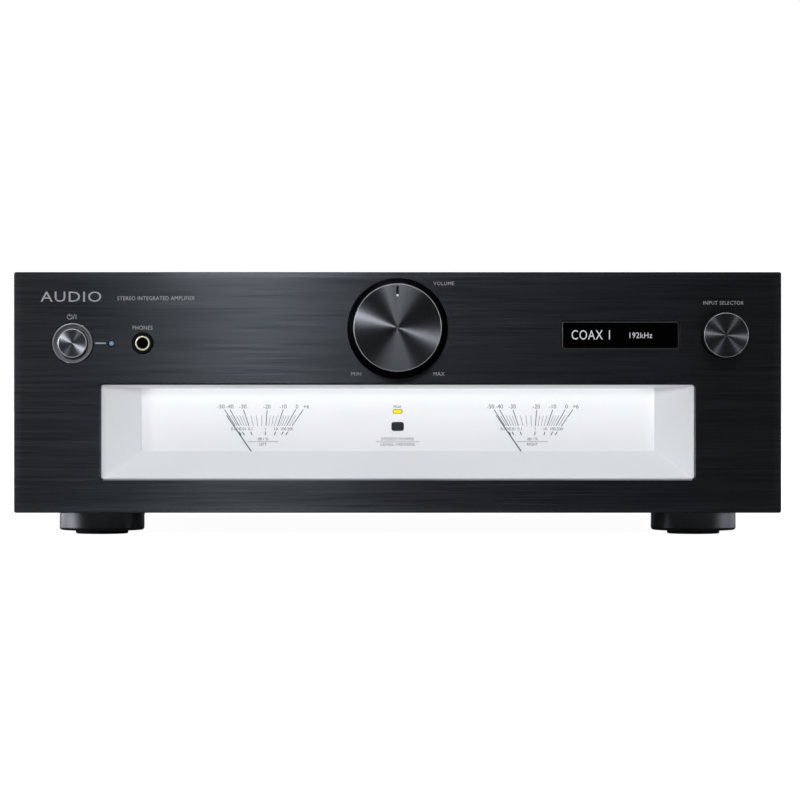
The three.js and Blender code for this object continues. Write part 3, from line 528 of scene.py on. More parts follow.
class Look(Nodes):
    """One node material, built up from a Principled shader."""

    def __init__(self, name, colour, roughness, metallic=0.0, **constants):
        self.material = bpy.data.materials.new(name)
        self.material.use_nodes = True
        super().__init__(self.material.node_tree)
        self.shader = self.tree.nodes["Principled BSDF"]
        self.colour = colour
        self.roughness = roughness
        settings = {"Base_Color": (*colour, 1), "Roughness": roughness, "Metallic": metallic, **constants}
        for socket, value in settings.items():
            self.shader.inputs[socket.replace("_", " ")].default_value = value

    def link(self, socket, source):
        self.tree.links.new(source, self.shader.inputs[socket])

    def position(self, scale=(1, 1, 1)):
        """The point on the object, in metres, stretched by a scale."""
        coordinates = self.node("ShaderNodeTexCoord").outputs["Object"]
        return self.node("ShaderNodeMapping", Vector=coordinates, Scale=scale).outputs["Vector"]

    def distance_from_axis(self):
        """The distance from the object's own Y axis, in metres, as a vector along X."""
        point = self.axes(self.position())
        flat = self.node("ShaderNodeCombineXYZ", X=point["X"], Y=point["Z"]).outputs["Vector"]
        length = self.node("ShaderNodeVectorMath", flat, operation="LENGTH").outputs["Value"]
        return self.node("ShaderNodeCombineXYZ", X=length).outputs["Vector"]

    def noise(self, vector, scale, detail, roughness=0.55):
        return self.node("ShaderNodeTexNoise", Vector=vector, Scale=scale, Detail=detail,
                         Roughness=roughness).outputs["Fac"]

    def ramp(self, factor, first, second):
        """Maps a noise to colours from first to second."""
        made = self.node("ShaderNodeValToRGB", Fac=factor)
        for element, position, colour in zip(made.color_ramp.elements, NOISE_RANGE, (first, second)):
            element.position = position
            element.color = (*colour, 1)
        return made.outputs["Color"]

    def shades(self, factor, less, more):
        """The look's own colour, from less to more of it."""
        low, high = (tuple(channel * share for channel in self.colour) for share in (less, more))
        return self.ramp(factor, low, high)

    def vary_colour(self, factor, less, more):
        self.link("Base Color", self.shades(factor, less, more))

    def vary_roughness(self, factor, less, more, *ends):
        self.link("Roughness", self.spread(factor, self.roughness * less, self.roughness * more, *ends))

    def edge_gain(self, box_, reach, most):
        """1 inside a box seen from the front, and up to most within reach (mm) of its edges."""
        point = self.axes(self.position())
        across = self.maths("ABSOLUTE", self.maths("SUBTRACT", point["X"], box_.x / 1000))
        up = self.maths("ABSOLUTE", self.maths("SUBTRACT", point["Z"], box_.z / 1000))
        from_side = self.maths("SUBTRACT", box_.width / 2000, across)
        from_top = self.maths("SUBTRACT", box_.height / 2000, up)
        nearest = self.maths("MINIMUM", from_side, from_top)
        return self.spread(nearest, most, 1.0, 0.0, reach / 1000, soft=True)

    def bump(self, height, strength, distance):
        made = self.node("ShaderNodeBump", Strength=strength, Distance=distance / 1000, Height=height)
        self.link("Normal", made.outputs["Normal"])

    def radial_brushing(self, axis):
        """Tangents that run round an axis, for the stretched gleam of brushed metal."""
        tangent = self.node("ShaderNodeTangent")
        tangent.direction_type = "RADIAL"
        tangent.axis = axis
        self.link("Tangent", tangent.outputs["Tangent"])


def brushed_panel():
    """Black anodised aluminium, brushed from side to side, with a painted highlight that lightens it along
    its edges.
    """
    look = Look("black_brushed_aluminium", (0.0265, 0.030, 0.0345), 0.259, 1.0, Anisotropic=0.889,
                Anisotropic_Rotation=0.25)
    strokes = look.noise(look.position((20, 40, 1750)), 1.0, 2.0, 0.6)
    cloud = look.noise(look.position(), 14.0, 2.0)
    # Painted highlight: the colour is lightened, up to 1.45 times, within 6 mm of the panel's edges.
    painted_edge_highlight = look.node("ShaderNodeVectorMath", look.shades(strokes, 0.62, 1.38), operation="SCALE",
                        Scale=look.edge_gain(PANEL, 6.0, 1.45))
    look.link("Base Color", painted_edge_highlight.outputs["Vector"])
    rough = look.maths("ADD", look.spread(strokes, 0.25, 0.268), look.spread(cloud, -0.01, 0.01))
    look.link("Roughness", rough)
    look.bump(strokes, 0.04, 0.02)
    look.radial_brushing("Z")
    return look.material


def spun(name, colour, roughness, anisotropy=1.0):
    """Metal turned on a lathe: fine rings round the axis of the piece."""
    look = Look(name, colour, roughness, 1.0, Anisotropic=anisotropy, Anisotropic_Rotation=0.25)
    rings = look.noise(look.distance_from_axis(), 2600.0, 3.0, 0.6)
    look.vary_colour(rings, 0.86, 1.14)
    look.vary_roughness(rings, 0.95, 1.05)
    look.bump(rings, 0.015, 0.02)
    look.radial_brushing("Y")
    return look.material


def satin_metal(name, colour, roughness, grain=1800.0, strength=0.1, metallic=1.0):
    """Bead-blasted or plated metal with a fine, even grain."""
    look = Look(name, colour, roughness, metallic)
    fine = look.noise(look.position(), grain, 3.0)
    look.vary_colour(look.noise(look.position(), 45.0, 2.0), 0.88, 1.1)
    look.vary_roughness(fine, 0.85, 1.15)
    look.bump(fine, strength, 0.02)
    return look.material


def turned_side(name, colour, roughness):
    """The side of a turned knob, with fine cut lines along it."""
    look = Look(name, colour, roughness, 1.0, Specular_Tint=(0.18, 0.18, 0.18, 1))
    lines = look.noise(look.position((30, 5200, 30)), 1.0, 2.0)
    look.vary_colour(lines, 0.85, 1.15)
    look.vary_roughness(lines, 0.85, 1.2)
    look.bump(lines, 0.12, 0.02)
    return look.material


def textured_paint(name, colour):
    """Paint with a fine leathery texture, as on a steel case."""
    look = Look(name, colour, 0.5, Specular_IOR_Level=0.45)
    cells = look.node("ShaderNodeTexVoronoi", Vector=look.position(), Scale=1500.0).outputs["Distance"]
    look.vary_colour(look.noise(look.position(), 30.0, 2.0), 0.85, 1.15)
    look.vary_roughness(cells, 0.85, 1.15, 0.0, 0.9)
    look.bump(cells, 0.18, 0.05)
    return look.material


def moulded(name, colour, roughness, grain=2200.0, strength=0.08, **constants):
    """Moulded plastic with a faint grain and slight clouds of shade."""
    look = Look(name, colour, roughness, **constants)
    fine = look.noise(look.position(), grain, 2.0)
    look.vary_colour(look.noise(look.position(), 60.0, 2.0), 0.95, 1.04)
    look.vary_roughness(fine, 0.85, 1.15)
    look.bump(fine, strength, 0.02)
    return look.material


def polished(name, colour, roughness, **constants):
    """Polished plastic: almost a mirror, with the faintest waves and hairlines."""
    look = Look(name, colour, roughness, **constants)
    hairs = look.noise(look.position((60, 60, 2600)), 1.0, 2.0)
    look.vary_roughness(hairs, 0.7, 1.5, 0.35, 0.75)
    look.bump(look.noise(look.position(), 35.0, 1.0), 0.02, 0.2)
    return look.material


def lit_white():
    """The dial: satin white with painted light. It glows in place of the light bar's light, more towards the
    light along its top, and painted shade makes it less at its left end.
    """
    look = Look("lit_dial_white", (0.76, 0.77, 0.79), 0.55, Emission_Color=(0.95, 0.975, 1.0, 1))
    point = look.axes(look.position())
    height = look.spread(point["Z"], 0.0, 1.0, DIAL.z0 / 1000 + 0.012, DIAL.z1 / 1000 - 0.008)
    cloud = look.spread(look.noise(look.position(), 25.0, 1.0), 0.215, 0.23)
    # Painted light: emission that stands in for the light bar shining on the dial, strongest along its top.
    glow = look.maths("MULTIPLY_ADD", look.maths("POWER", height, 2.2), 0.26, cloud)
    # Painted shade: the glow drops to 0.45 of itself towards the dial's left end.
    shade = look.spread(point["X"], 0.45, 1.0, -0.146, -0.138)
    look.link("Emission Strength", look.maths("MULTIPLY", glow, shade))
    fine = look.noise(look.position(), 2600.0, 2.0)
    look.link("Roughness", look.spread(fine, 0.5, 0.6))
    look.bump(fine, 0.04, 0.02)
    return look.material


def lit(name, colour, glow, strength, roughness=0.25, **constants):
    """A lens or diffuser that is lit from behind, or a moulding given a faint painted glow."""
    look = Look(name, colour, roughness, Emission_Color=(*glow, 1), **constants)
    cloud = look.noise(look.position(), 900.0, 2.0)
    look.link("Emission Strength", look.spread(cloud, strength * 0.92, strength * 1.08))
    look.vary_roughness(cloud, 0.9, 1.1)
    return look.material


def clear_pane():
    """The clear pane in front of the meters: seen only by its faint gloss."""
    look = Look("clear_pane", (0.3, 0.32, 0.33), 0.03, Alpha=0.03)
    waves = look.noise(look.position(), 20.0, 1.0)
    look.link("Roughness", look.spread(waves, 0.02, 0.05))
    look.bump(waves, 0.01, 0.2)
    return look.material


def circuit_mask():
    """Green solder mask with the faint relief of the tracks under it."""
    look = Look("green_solder_mask", (0.02, 0.085, 0.045), 0.35)
    tracks = look.node("ShaderNodeTexBrick", Vector=look.position((90, 90, 90)), Scale=4.0).outputs["Fac"]
    look.vary_colour(tracks, 1.0, 1.6)
    look.bump(tracks, 0.2, 0.03)
    return look.material


def gold_plate():
    """Yellow gold plating with faint clouds."""
    look = Look("gold_plate", (0.83, 0.6, 0.27), 0.2, 1.0)
    fine = look.noise(look.position(), 2500.0, 2.0)
    cloud = look.noise(look.position(), 120.0, 2.0)
    look.link("Base Color", look.ramp(cloud, (0.78, 0.55, 0.24), (0.88, 0.66, 0.32)))
    look.link("Roughness", look.spread(fine, 0.16, 0.26))
    look.bump(fine, 0.05, 0.01)
    return look.material


BRUSHED_BLACK = brushed_panel()
KNOB_FACE = spun("spun_dark_grey", (0.034, 0.0365, 0.041), 0.265)
BUTTON_FACE = spun("spun_button_grey", (0.054, 0.058, 0.064), 0.3, 0.95)
KNOB_SIDE = turned_side("dark_turned_side", (0.02, 0.022, 0.026), 0.3)
BRIGHT_CUT = satin_metal("bright_cut_rim", (0.5, 0.52, 0.55), 0.4, 3000.0, 0.03, 0.6)
# Painted highlight for the low edge of the meter opening.
LIP = satin_metal("opening_lip_painted_highlight", (0.26, 0.27, 0.285), 0.45, 2600.0, 0.04, 0.2)
DISHED = satin_metal("satin_dished_ring", (0.2, 0.21, 0.225), 0.5, 2600.0, 0.04, 0.35)
# Painted highlight: the white dot stands in for the glint at the end of the volume knob's groove.
POINTER_GLINT = moulded("pointer_painted_glint", (0.85, 0.86, 0.87), 0.4)
BEZEL = satin_metal("light_bezel", (0.25, 0.26, 0.28), 0.4, 2600.0, 0.03, 0.6)
FOOT_METAL = satin_metal("satin_foot_grey", (0.055, 0.06, 0.068), 0.33, 2600.0, 0.08)
CASE_PAINT = textured_paint("textured_black_paint", (0.018, 0.0185, 0.02))
STEEL = satin_metal("zinc_plated_steel", (0.42, 0.44, 0.46), 0.34, 900.0, 0.08)
SCREW_BLACK = satin_metal("blackened_screw", (0.05, 0.052, 0.056), 0.35, 2500.0, 0.06)
# Painted light: the moulding is no lamp; its glow of 0.15 lifts the shade on the recess walls.
WHITE = lit("satin_white_moulding_painted_glow", (0.72, 0.735, 0.76), (0.95, 0.975, 1.0), 0.15, 0.5)
# Painted light: the dial glows, brightest at its top, with painted shade at its left end.
DIAL_WHITE = lit_white()
LIGHT_BAR = lit("lit_white_diffuser", (0.95, 0.97, 1.0), (0.95, 0.98, 1.0), 1.0, 0.5)
PANE = clear_pane()
NEEDLE = moulded("needle_paint", (0.07, 0.085, 0.1), 0.45, 3000.0, 0.05)
DIAL_INK = moulded("grey_dial_ink", (0.05, 0.055, 0.06), 0.6, 3000.0, 0.03)
PALE_INK = moulded("pale_dial_ink", (0.42, 0.44, 0.47), 0.6, 3000.0, 0.03)
PANEL_INK = moulded("pale_panel_ink", (0.3, 0.31, 0.325), 0.55, 3000.0, 0.03)
REAR_INK = moulded("white_rear_ink", (0.62, 0.62, 0.61), 0.6, 3000.0, 0.03)
GLOSS_BLACK = polished("gloss_black", (0.0004, 0.0004, 0.0005), 0.05, Specular_IOR_Level=0.05)
GLOSS_EDGE = satin_metal("polished_edge", (0.03, 0.032, 0.035), 0.35, 2600.0, 0.02, 0.0)
DISPLAY_GLOW = lit("display_segments", (0.3, 0.31, 0.33), (0.88, 0.93, 1.0), 0.36)
SMOKED = polished("smoked_window", (0.016, 0.02, 0.024), 0.12, Specular_IOR_Level=0.2)
BLUE = lit("lit_blue_lens", (0.02, 0.2, 0.45), (0.02, 0.3, 0.8), 0.42)
AMBER = lit("lit_amber_lens", (0.9, 0.6, 0.01), (1.0, 0.7, 0.008), 0.6, 0.4, Specular_IOR_Level=0.2)
GOLD = gold_plate()
BLACK_PLASTIC = moulded("black_moulding", (0.014, 0.0145, 0.015), 0.42, 1700.0, 0.12)
# Black for the headphone collar, and painted shade: a deeper black than the parts around, for holes, grooves,
# cross recesses and socket cavities.
BLACK_AND_RECESS_SHADE = moulded("black_and_painted_recess_shade", (0.004, 0.004, 0.0045), 0.7, 1700.0, 0.1, Specular_IOR_Level=0.1)
PALE_GOLD = satin_metal("pale_gold_plate", (0.6, 0.55, 0.43), 0.35, 2500.0, 0.03, 0.8)
CAP_PLASTIC = polished("black_cap_plastic", (0.012, 0.012, 0.013), 0.16)
RED_RING = moulded("red_insulator", (0.5, 0.02, 0.015), 0.35)
WHITE_RING = moulded("white_insulator", (0.8, 0.8, 0.78), 0.4)
ORANGE_RING = moulded("orange_insulator", (0.75, 0.22, 0.03), 0.38)
RUBBER = moulded("black_rubber", (0.012, 0.012, 0.012), 0.8, 1300.0, 0.2)
SOLDER_MASK = circuit_mask()
TRANSFORMER_CAN = satin_metal("potted_black_shell", (0.03, 0.03, 0.033), 0.45, 1200.0, 0.15, 0.0)
HEATSINK = satin_metal("black_extrusion", (0.05, 0.05, 0.055), 0.42, 1500.0, 0.1)

# ---------------------------------------------------------------- CAD nodes that keep their own shape


def keep(node, look, bevel=0.0):
    """Gives a CAD node its look, and eases its edges."""
    obj = frame["nodes"][node]
    obj.data.materials.clear()
    obj.data.materials.append(look)
    if bevel:
        soften(obj, bevel)


def keep_cad_nodes():
    keep("meter_window", PANE)
    keep("meter_dial", DIAL_WHITE)
    keep("meter_light_bar", LIGHT_BAR, 0.3)
    keep("peak_indicator_lens", AMBER, 0.25)
    keep("remote_sensor_window", SMOKED, 0.25)
    for side in ("left", "right"):
        keep(f"needle_{side}", NEEDLE)
        frame["nodes"][f"needle_{side}"].visible_shadow = False
        keep(f"meter_movement_{side}", BLACK_PLASTIC, 0.4)
        keep(f"reservoir_capacitor_{side}", BLACK_PLASTIC, 0.5)
    for node in ("front_subchassis", "base_plate", "volume_shaft", "selector_shaft", "volume_control",
                 "selector_encoder"):
        keep(node, STEEL, 0.2)
    keep("power_switch", BLACK_PLASTIC, 0.4)
    keep("display_board", SOLDER_MASK)
    keep("main_board", SOLDER_MASK)
    keep("power_transformer", TRANSFORMER_CAN, 1.0)
    keep("heatsink", HEATSINK, 0.3)


# ---------------------------------------------------------------- front panel and recess

PANEL_CORNER = 1.2
DISPLAY_CORNER = 1.6
WINDOW_LIP = 2.4  # how far the pane reaches behind the panel, above and below
OPENING = rounded_rectangle(-166.2, 166.2, WINDOW.z0 + WINDOW_LIP, WINDOW.z1 - WINDOW_LIP, 1.2)


def front_panel():
    """The brushed plate and its openings. The low edge of the long one gets a paler look: a painted highlight
    where it catches the light.
    """
    shape = Shape()
    back = PANEL.depth
    rebate = WINDOW.y0 - GAP - FACE
    reach = WINDOW_LIP + GAP
    opening = (OPENING, [(0.9, 0), (0, 0.9), (0, rebate), (reach, rebate), (reach, back)])
    display_hole = (rounded_box(DISPLAY, DISPLAY_CORNER, GAP), bored(back, radius=0.2))
    jack_hole = (circle(PHONES.x, PHONES.z, 5.9), bored(back))
    bores = [(RING, RING.radius + GAP), (LED, LED.radius + GAP), (VOLUME, 5.6), (SELECTOR, 4.8)]
    holes = [(circle(bore.x, bore.z, radius, 96), bored(back)) for bore, radius in bores]
    plate(shape, facing_front(FACE), (rounded_box(PANEL, PANEL_CORNER), eased(back, radius=0.45)),
          [opening, display_hole, jack_hole, *holes])
    # Painted highlight: the faces along the opening's low edge take the paler look.
    low_edge = min(z for _, z in OPENING()) + 0.01
    for i, face in enumerate(shape.faces):
        corners = [shape.points[corner] for corner in face]
        if all(abs(x) < WINDOW.x1 and low_edge - 1 < z < low_edge and y < FACE + 1 for x, y, z in corners):
            shape.looks[i] = 1
    piece("front_panel_plate", shape, [BRUSHED_BLACK, LIP], stands_for=["front_panel"])


def meter_surround():
    """The white moulding round the dial: a flange, a lip and four walls that close in. Its faint glow is
    painted light that lifts its shade.
    """
    lip, slope, end = (rounded_rectangle(-s["half_width"], s["half_width"], s["low"], s["high"], 0.8)
                       for s in RECESS_STATIONS)
    first, middle, last = (s["depth"] for s in RECESS_STATIONS)
    flange = rounded_box(WINDOW, 1.0)
    section = [(flange, 0, first), (lip, 0, first), (slope, 0, middle), (end, 0, last),
               (end, RECESS_WALL, last), (slope, RECESS_WALL, middle),
               (lip, RECESS_WALL, first + RECESS_WALL), (flange, 0, first + RECESS_WALL)]
    shape = Shape()
    loft(shape, [[(u, FACE + depth, v) for u, v in outline(grow)] for outline, grow, depth in section],
         closed=True)
    inner = RECESS_STATIONS[-1]
    for x in (-inner["half_width"] - RECESS_WALL, inner["half_width"]):
        box(shape, x, x + RECESS_WALL, FACE + last - 0.1, DIAL.y0 - GAP, inner["low"], inner["high"])
    return piece("meter_surround_moulding", shape, [WHITE], stands_for=["meter_surround"],
                 crease=18)


def on_ray(pivot, angle, height):
    """The X of a scale mark's ray at a height, for an angle in degrees from upright."""
    return pivot.x + (height - pivot.z) * math.tan(math.radians(angle))


def mark(shape, pivot, angle, low, high, width):
    """A printed line along a scale mark's ray, from one height to another."""
    line(shape, on_ray(pivot, angle, low), low, on_ray(pivot, angle, high), high, width, DIAL.y0)


def meter_scale(ink, pale, side):
    """One meter's print: the level marks above, the power marks below, and the name."""
    joint = next(j for j in frame["joints"] if j["name"] == f"needle_{side}_swing")
    pivot = SimpleNamespace(x=joint["pos_m"][0] * 1000, z=joint["pos_m"][2] * 1000)
    for angle, level, level_shift, power, power_shift in zip(SCALE_ANGLES, LEVEL_MARKS, LEVEL_SHIFTS,
                                                             POWER_MARKS, POWER_SHIFTS):
        mark(ink, pivot, angle, SCALE_LOW, SCALE_HIGH, 0.42)
        level_x = on_ray(pivot, angle, SCALE_HIGH) + level_shift
        power_x = on_ray(pivot, angle, SCALE_LOW - 1.7) + power_shift
        lettering(ink, level, level_x, SCALE_HIGH + 0.65, 2.25, DIAL.y0)
        lettering(ink, power, power_x, SCALE_LOW - 2.5, 1.63, DIAL.y0)
        mark(ink, pivot, angle, *STUB, 0.5)
    for first, last, count in zip(SCALE_ANGLES, SCALE_ANGLES[1:], MINOR_STEPS):
        for n in range(1, count):
            mark(pale, pivot, first + (last - first) * n / count, SCALE_LOW, SCALE_MINOR_HIGH, 0.38)
    printed(ink, DIAL.y0, [("dB / %", pivot.x, 53.4, 1.6), (side.upper(), pivot.x, 50.5, 1.5)])
    line(pale, pivot.x - 8.8, 52.65, pivot.x + 8.8, 52.65, 0.35, DIAL.y0)


def meter_print():
    ink, pale = Shape(), Shape()
    for side in ("left", "right"):
        meter_scale(ink, pale, side)
    printed(ink, DIAL.y0, [("PEAK", 0, 71.7, 1.55, 4.6), ("STEREO POWER", 0, 53.4, 1.6, 18.5),
                           ("LEVEL METERS", 0, 50.4, 1.5, 19.2)])
    line(pale, -12.4, 52.6, 12.4, 52.6, 0.35, DIAL.y0)
    piece("meter_print_dark", ink, [DIAL_INK])
    piece("meter_print_pale", pale, [PALE_INK])


def panel_print():
    """Plain names of the controls, in pale ink, and the power sign over its button."""
    shape = Shape()
    printed(shape, FACE, [
        ("AUDIO", -183, 131.4, 5.6, 34),
        ("STEREO INTEGRATED AMPLIFIER", -135.25, 132.2, 2.2, 43.5),
        ("VOLUME", 25.9, 140.6, 2.0, 11.7),
        ("MIN", -23.2, 89.9, 2.0, 5.6),
        ("MAX", 23.2, 89.9, 2.0, 6.3),
        ("INPUT SELECTOR", 182.6, 129.7, 2.0, 22.6),
        ("PHONES", PHONES.x, 115.7, 2.2, 11.2),
    ])
    line(shape, -169.4, BUTTON.z, -163.4, BUTTON.z, 0.75, FACE)
    power_sign(shape, BUTTON.x - 0.6, 122.9)
    piece("panel_print", shape, [PANEL_INK])


def power_sign(shape, x, z):
    """The usual standby sign, and a slanting and an upright stroke beside it."""
    arc_line(shape, x - 0.9, z, 1.35, 125, 415, 0.35, FACE)
    for x0, z0, x1, z1, width in ((-0.9, 0.2, -0.9, 1.75, 0.35), (1.0, -1.4, 1.7, 1.6, 0.3),
                                  (2.6, -1.35, 2.6, 1.45, 0.35)):
        line(shape, x + x0, z + z0, x + x1, z + z1, width, FACE)


def display():
    shape = Shape()
    plate(shape, facing_front(DISPLAY.y0),
          (rounded_box(DISPLAY, DISPLAY_CORNER), eased(DISPLAY.depth, radius=0.7)), edge_look=1)
    piece("display_pane", shape, [GLOSS_BLACK, GLOSS_EDGE], stands_for=["display_window"])
    words = Shape()
    printed(words, DISPLAY.y0, [("COAX 1", 108.25, 110.2, 5.2, 21.5), ("192kHz", 136.35, 111.0, 3.1, 12.7)])
    piece("display_words", words, [DISPLAY_GLOW])


# ---------------------------------------------------------------- knobs and buttons

RIM_LOOK, SIDE_LOOK = 1, 2  # look 0 is the face
# The last look, for a cut groove, is painted shade.
KNOB_LOOKS = [KNOB_FACE, BRIGHT_CUT, KNOB_SIDE, BLACK_AND_RECESS_SHADE]  # the last for a cut groove
KNOB_RIM = 0.3  # width of the bright cut round a knob's face
KNOB_WALL = 2.6
KNOB_HUB = 6.5  # radius of the hub inside a knob
KNOB_BORE = 3.3  # radius of the socket for its shaft


def knob_profile(box_, tip_radius, dome=0.0):
    """From the middle of a knob's face, round its rim and side, into its hollow back and its socket."""
    tip, base = box_.y0, box_.y1
    face_radius, hollow, socket = tip_radius - KNOB_RIM, tip + 4, tip + 6
    domed = [(face_radius * k / 8, tip + dome * (k / 8) ** 2) for k in range(1, 8)] if dome else []
    return [
        (0, tip),
        *domed,
        (face_radius, tip + dome, 0.05, RIM_LOOK),
        (tip_radius, tip + dome + KNOB_RIM * 0.85, 0.15, SIDE_LOOK),
        (box_.radius, base, 0.5, SIDE_LOOK),
        (box_.radius - KNOB_WALL, base, 0.2, SIDE_LOOK),
        (tip_radius - KNOB_WALL, hollow, 0.5, SIDE_LOOK),
        (KNOB_HUB, hollow, 0.3, SIDE_LOOK),
        (KNOB_HUB, base, 0.3, SIDE_LOOK),
        (KNOB_BORE, base, 0.2, SIDE_LOOK),
        (KNOB_BORE, socket, 0, SIDE_LOOK),
        (0, socket, 0, SIDE_LOOK),
    ]


def volume_knob():
    """A large tapered knob with a faintly domed face, a pointer groove darkened with painted shade, and a
    white dot at its end that is a painted glint.
    """
    tip_radius, dome = 24.4, 0.45
    groove_inner, groove_outer, half_width = 17.2, 23.4, 0.72
    groove = Shape()
    outline = rounded_rectangle(VOLUME.x - half_width, VOLUME.x + half_width, VOLUME.z + groove_inner,
                                VOLUME.z + groove_outer, half_width - 0.02, 4)
    plate(groove, facing_front(VOLUME.y0 - 1), (outline, [(0, 0), (0, 2.3)]))
    shape = Shape()
    turn(shape, VOLUME, knob_profile(VOLUME, tip_radius, dome), 192)
    knob = piece("volume_knob_turned", shape, KNOB_LOOKS, "volume", ["volume_knob"],
                 origin=middle_of(VOLUME), groove=groove)
    front = VOLUME.y0 + dome * (groove_inner / tip_radius) ** 2 + 0.1
    back = VOLUME.y0 + 1.35
    radius = half_width - 0.05
    at = SimpleNamespace(x=VOLUME.x, z=VOLUME.z + groove_inner + half_width)
    # Painted highlight: a white dot for the glint at the groove's end.
    dot = Shape()
    turn(dot, at, [(0, front), (radius, front, 0.15), (radius, back), (0, back)], 24)
    piece("volume_pointer_dot", dot, [POINTER_GLINT], "volume")
    return knob


def selector_knob():
    """A small straight knob with fine ribs round its side."""
    ribs, rib_depth = 72, 0.12
    shape = Shape()
    turn(shape, SELECTOR, knob_profile(SELECTOR, 12.4), ribs * 6, ripple=ribbed(ribs, rib_depth), band=0.5)
    return piece("selector_knob_turned", shape, KNOB_LOOKS, "selector", ["selector_knob"],
                 origin=middle_of(SELECTOR))


def power_button():
    tip, back, end = BUTTON.y0, FACE + 5, BUTTON.y1
    radius, stem = BUTTON.radius, 2.5
    shape = Shape()
    turn(shape, BUTTON, [
        (0, tip),
        (radius - 0.5, tip, 0.05, RIM_LOOK),
        (radius, tip + 0.45, 0.15, SIDE_LOOK),
        (radius, back, 0.2, SIDE_LOOK),
        (stem, back, 0.2, SIDE_LOOK),
        (stem, end, 0.3, SIDE_LOOK),
        (0, end, 0, SIDE_LOOK),
    ], 96)
    looks = [BUTTON_FACE, BRIGHT_CUT, KNOB_SIDE]
    return piece("power_button_turned", shape, looks, "power", ["power_button"],
                 origin=middle_of(BUTTON))


def power_ring():
    """A ring whose face dips towards the button."""
    inner, outer, high = 8.7, RING.radius, RING.y0
    face_width = outer - 0.7 - inner
    dip = [(inner + face_width * k / 10, FACE + 1.4 - 1.8 * (k / 10) ** 1.7) for k in range(11)]
    edge = [(outer - 0.35, high + 0.03), (outer - 0.1, high + 0.15), (outer, high + 0.4)]
    shape = Shape()
    turn(shape, RING, dip + edge + [(outer, RING.y1), (inner, RING.y1)], 192, closed=True)
    return piece("power_button_ring_turned", shape, [DISHED],
                 stands_for=["power_button_ring"], origin=middle_of(RING))


def power_spring():
    """A coil spring with closed end turns."""
    wire, radius, turns, per_turn, press = 0.45, 4.6, 5, 20, 3
    coil, switch = cad("power_button_spring"), cad("power_switch")
    front, back = coil.y0 + wire, coil.y1 - wire
    path = []
    for i in range(turns * per_turn + 1):
        rise = min(max((i / (turns * per_turn) - 0.1) / 0.8, 0), 1)
        angle = 2 * math.pi * i / per_turn
        path.append((BUTTON.x + radius * math.cos(angle), front + (back - front) * rise,
                     BUTTON.z + radius * math.sin(angle)))
    shape = Shape()
    tube(shape, path, wire, 8)
    spring = piece("power_spring_coil", shape, [STEEL], stands_for=["power_button_spring"])
    spring.modifiers.clear()
    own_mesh(spring)


def power_light():
    """A blue light pipe in a thin grey bezel."""
    tip, back, bezel, core, rise = LED.y0, LED.y1, LED.radius, 0.92, 0.4
    slopes = [math.pi / 2 * k / 8 for k in range(8)]
    dome = [(core * math.sin(a), tip + rise * (1 - math.cos(a))) for a in slopes]
    shape = Shape()
    turn(shape, LED, dome + [(core, tip + rise, 0, 1), (core, tip + 0.2, 0.08, 1), (bezel, tip + 0.3, 0.1, 1),
                             (bezel, back, 0, 1), (0, back)], 48)
    piece("power_light_pipe", shape, [BLUE, BEZEL], stands_for=["power_led"],
          origin=middle_of(LED))


def headphone_socket():
    """A black collar and its body behind the panel, and a gold sleeve in the collar."""
    jack = cad("headphone_jack")
    front, end = jack.y0, jack.y1
    collar, hole, deep, body = 5.6, PHONES.radius + 0.05, FACE + 20, FACE + PANEL.depth + 2
    shape = Shape()
    turn(shape, PHONES, [(hole, deep, 0, 1), (hole, front, 0.25), (collar, front, 0.45), (collar, body)], 96)
    turn(shape, PHONES, [(collar, body), (7, body), (7, end), (0, end)], 48)
    turn(shape, PHONES, [(hole, deep, 0, 1), (0, deep, 0, 1)], 96)
    piece("headphone_collar", shape, [BLACK_AND_RECESS_SHADE, BLACK_AND_RECESS_SHADE],
          stands_for=["headphone_jack"], origin=(PHONES.x, front, PHONES.z))
    outer, inner, tip, back = PHONES.radius - 0.15, 3.15, PHONES.y0, PHONES.y1
    sleeve = Shape()
    turn(sleeve, PHONES, [
        (inner, back, 0, 1),
        (inner, tip + 0.6, 0.1, 1),
        (inner + 0.05, tip + 0.2, 0.1),
        (inner + 0.4, tip, 0.2),
        (outer, tip, 0.3),
        (outer, back),
    ], 64, closed=True)
    # Painted shade: the sleeve's bore takes the deep black, so the hole reads dark.
    piece("headphone_sleeve_gold", sleeve, [PALE_GOLD, BLACK_AND_RECESS_SHADE],
          stands_for=["headphone_sleeve"], origin=middle_of(PHONES))


# ---------------------------------------------------------------- case


def slot_outline(x0, x1, y0, y1):
    """A slot with round ends, longest along whichever side is longer."""
    return rounded_rectangle(x0, x1, y0, y1, min(x1 - x0, y1 - y0) / 2 - 0.01)


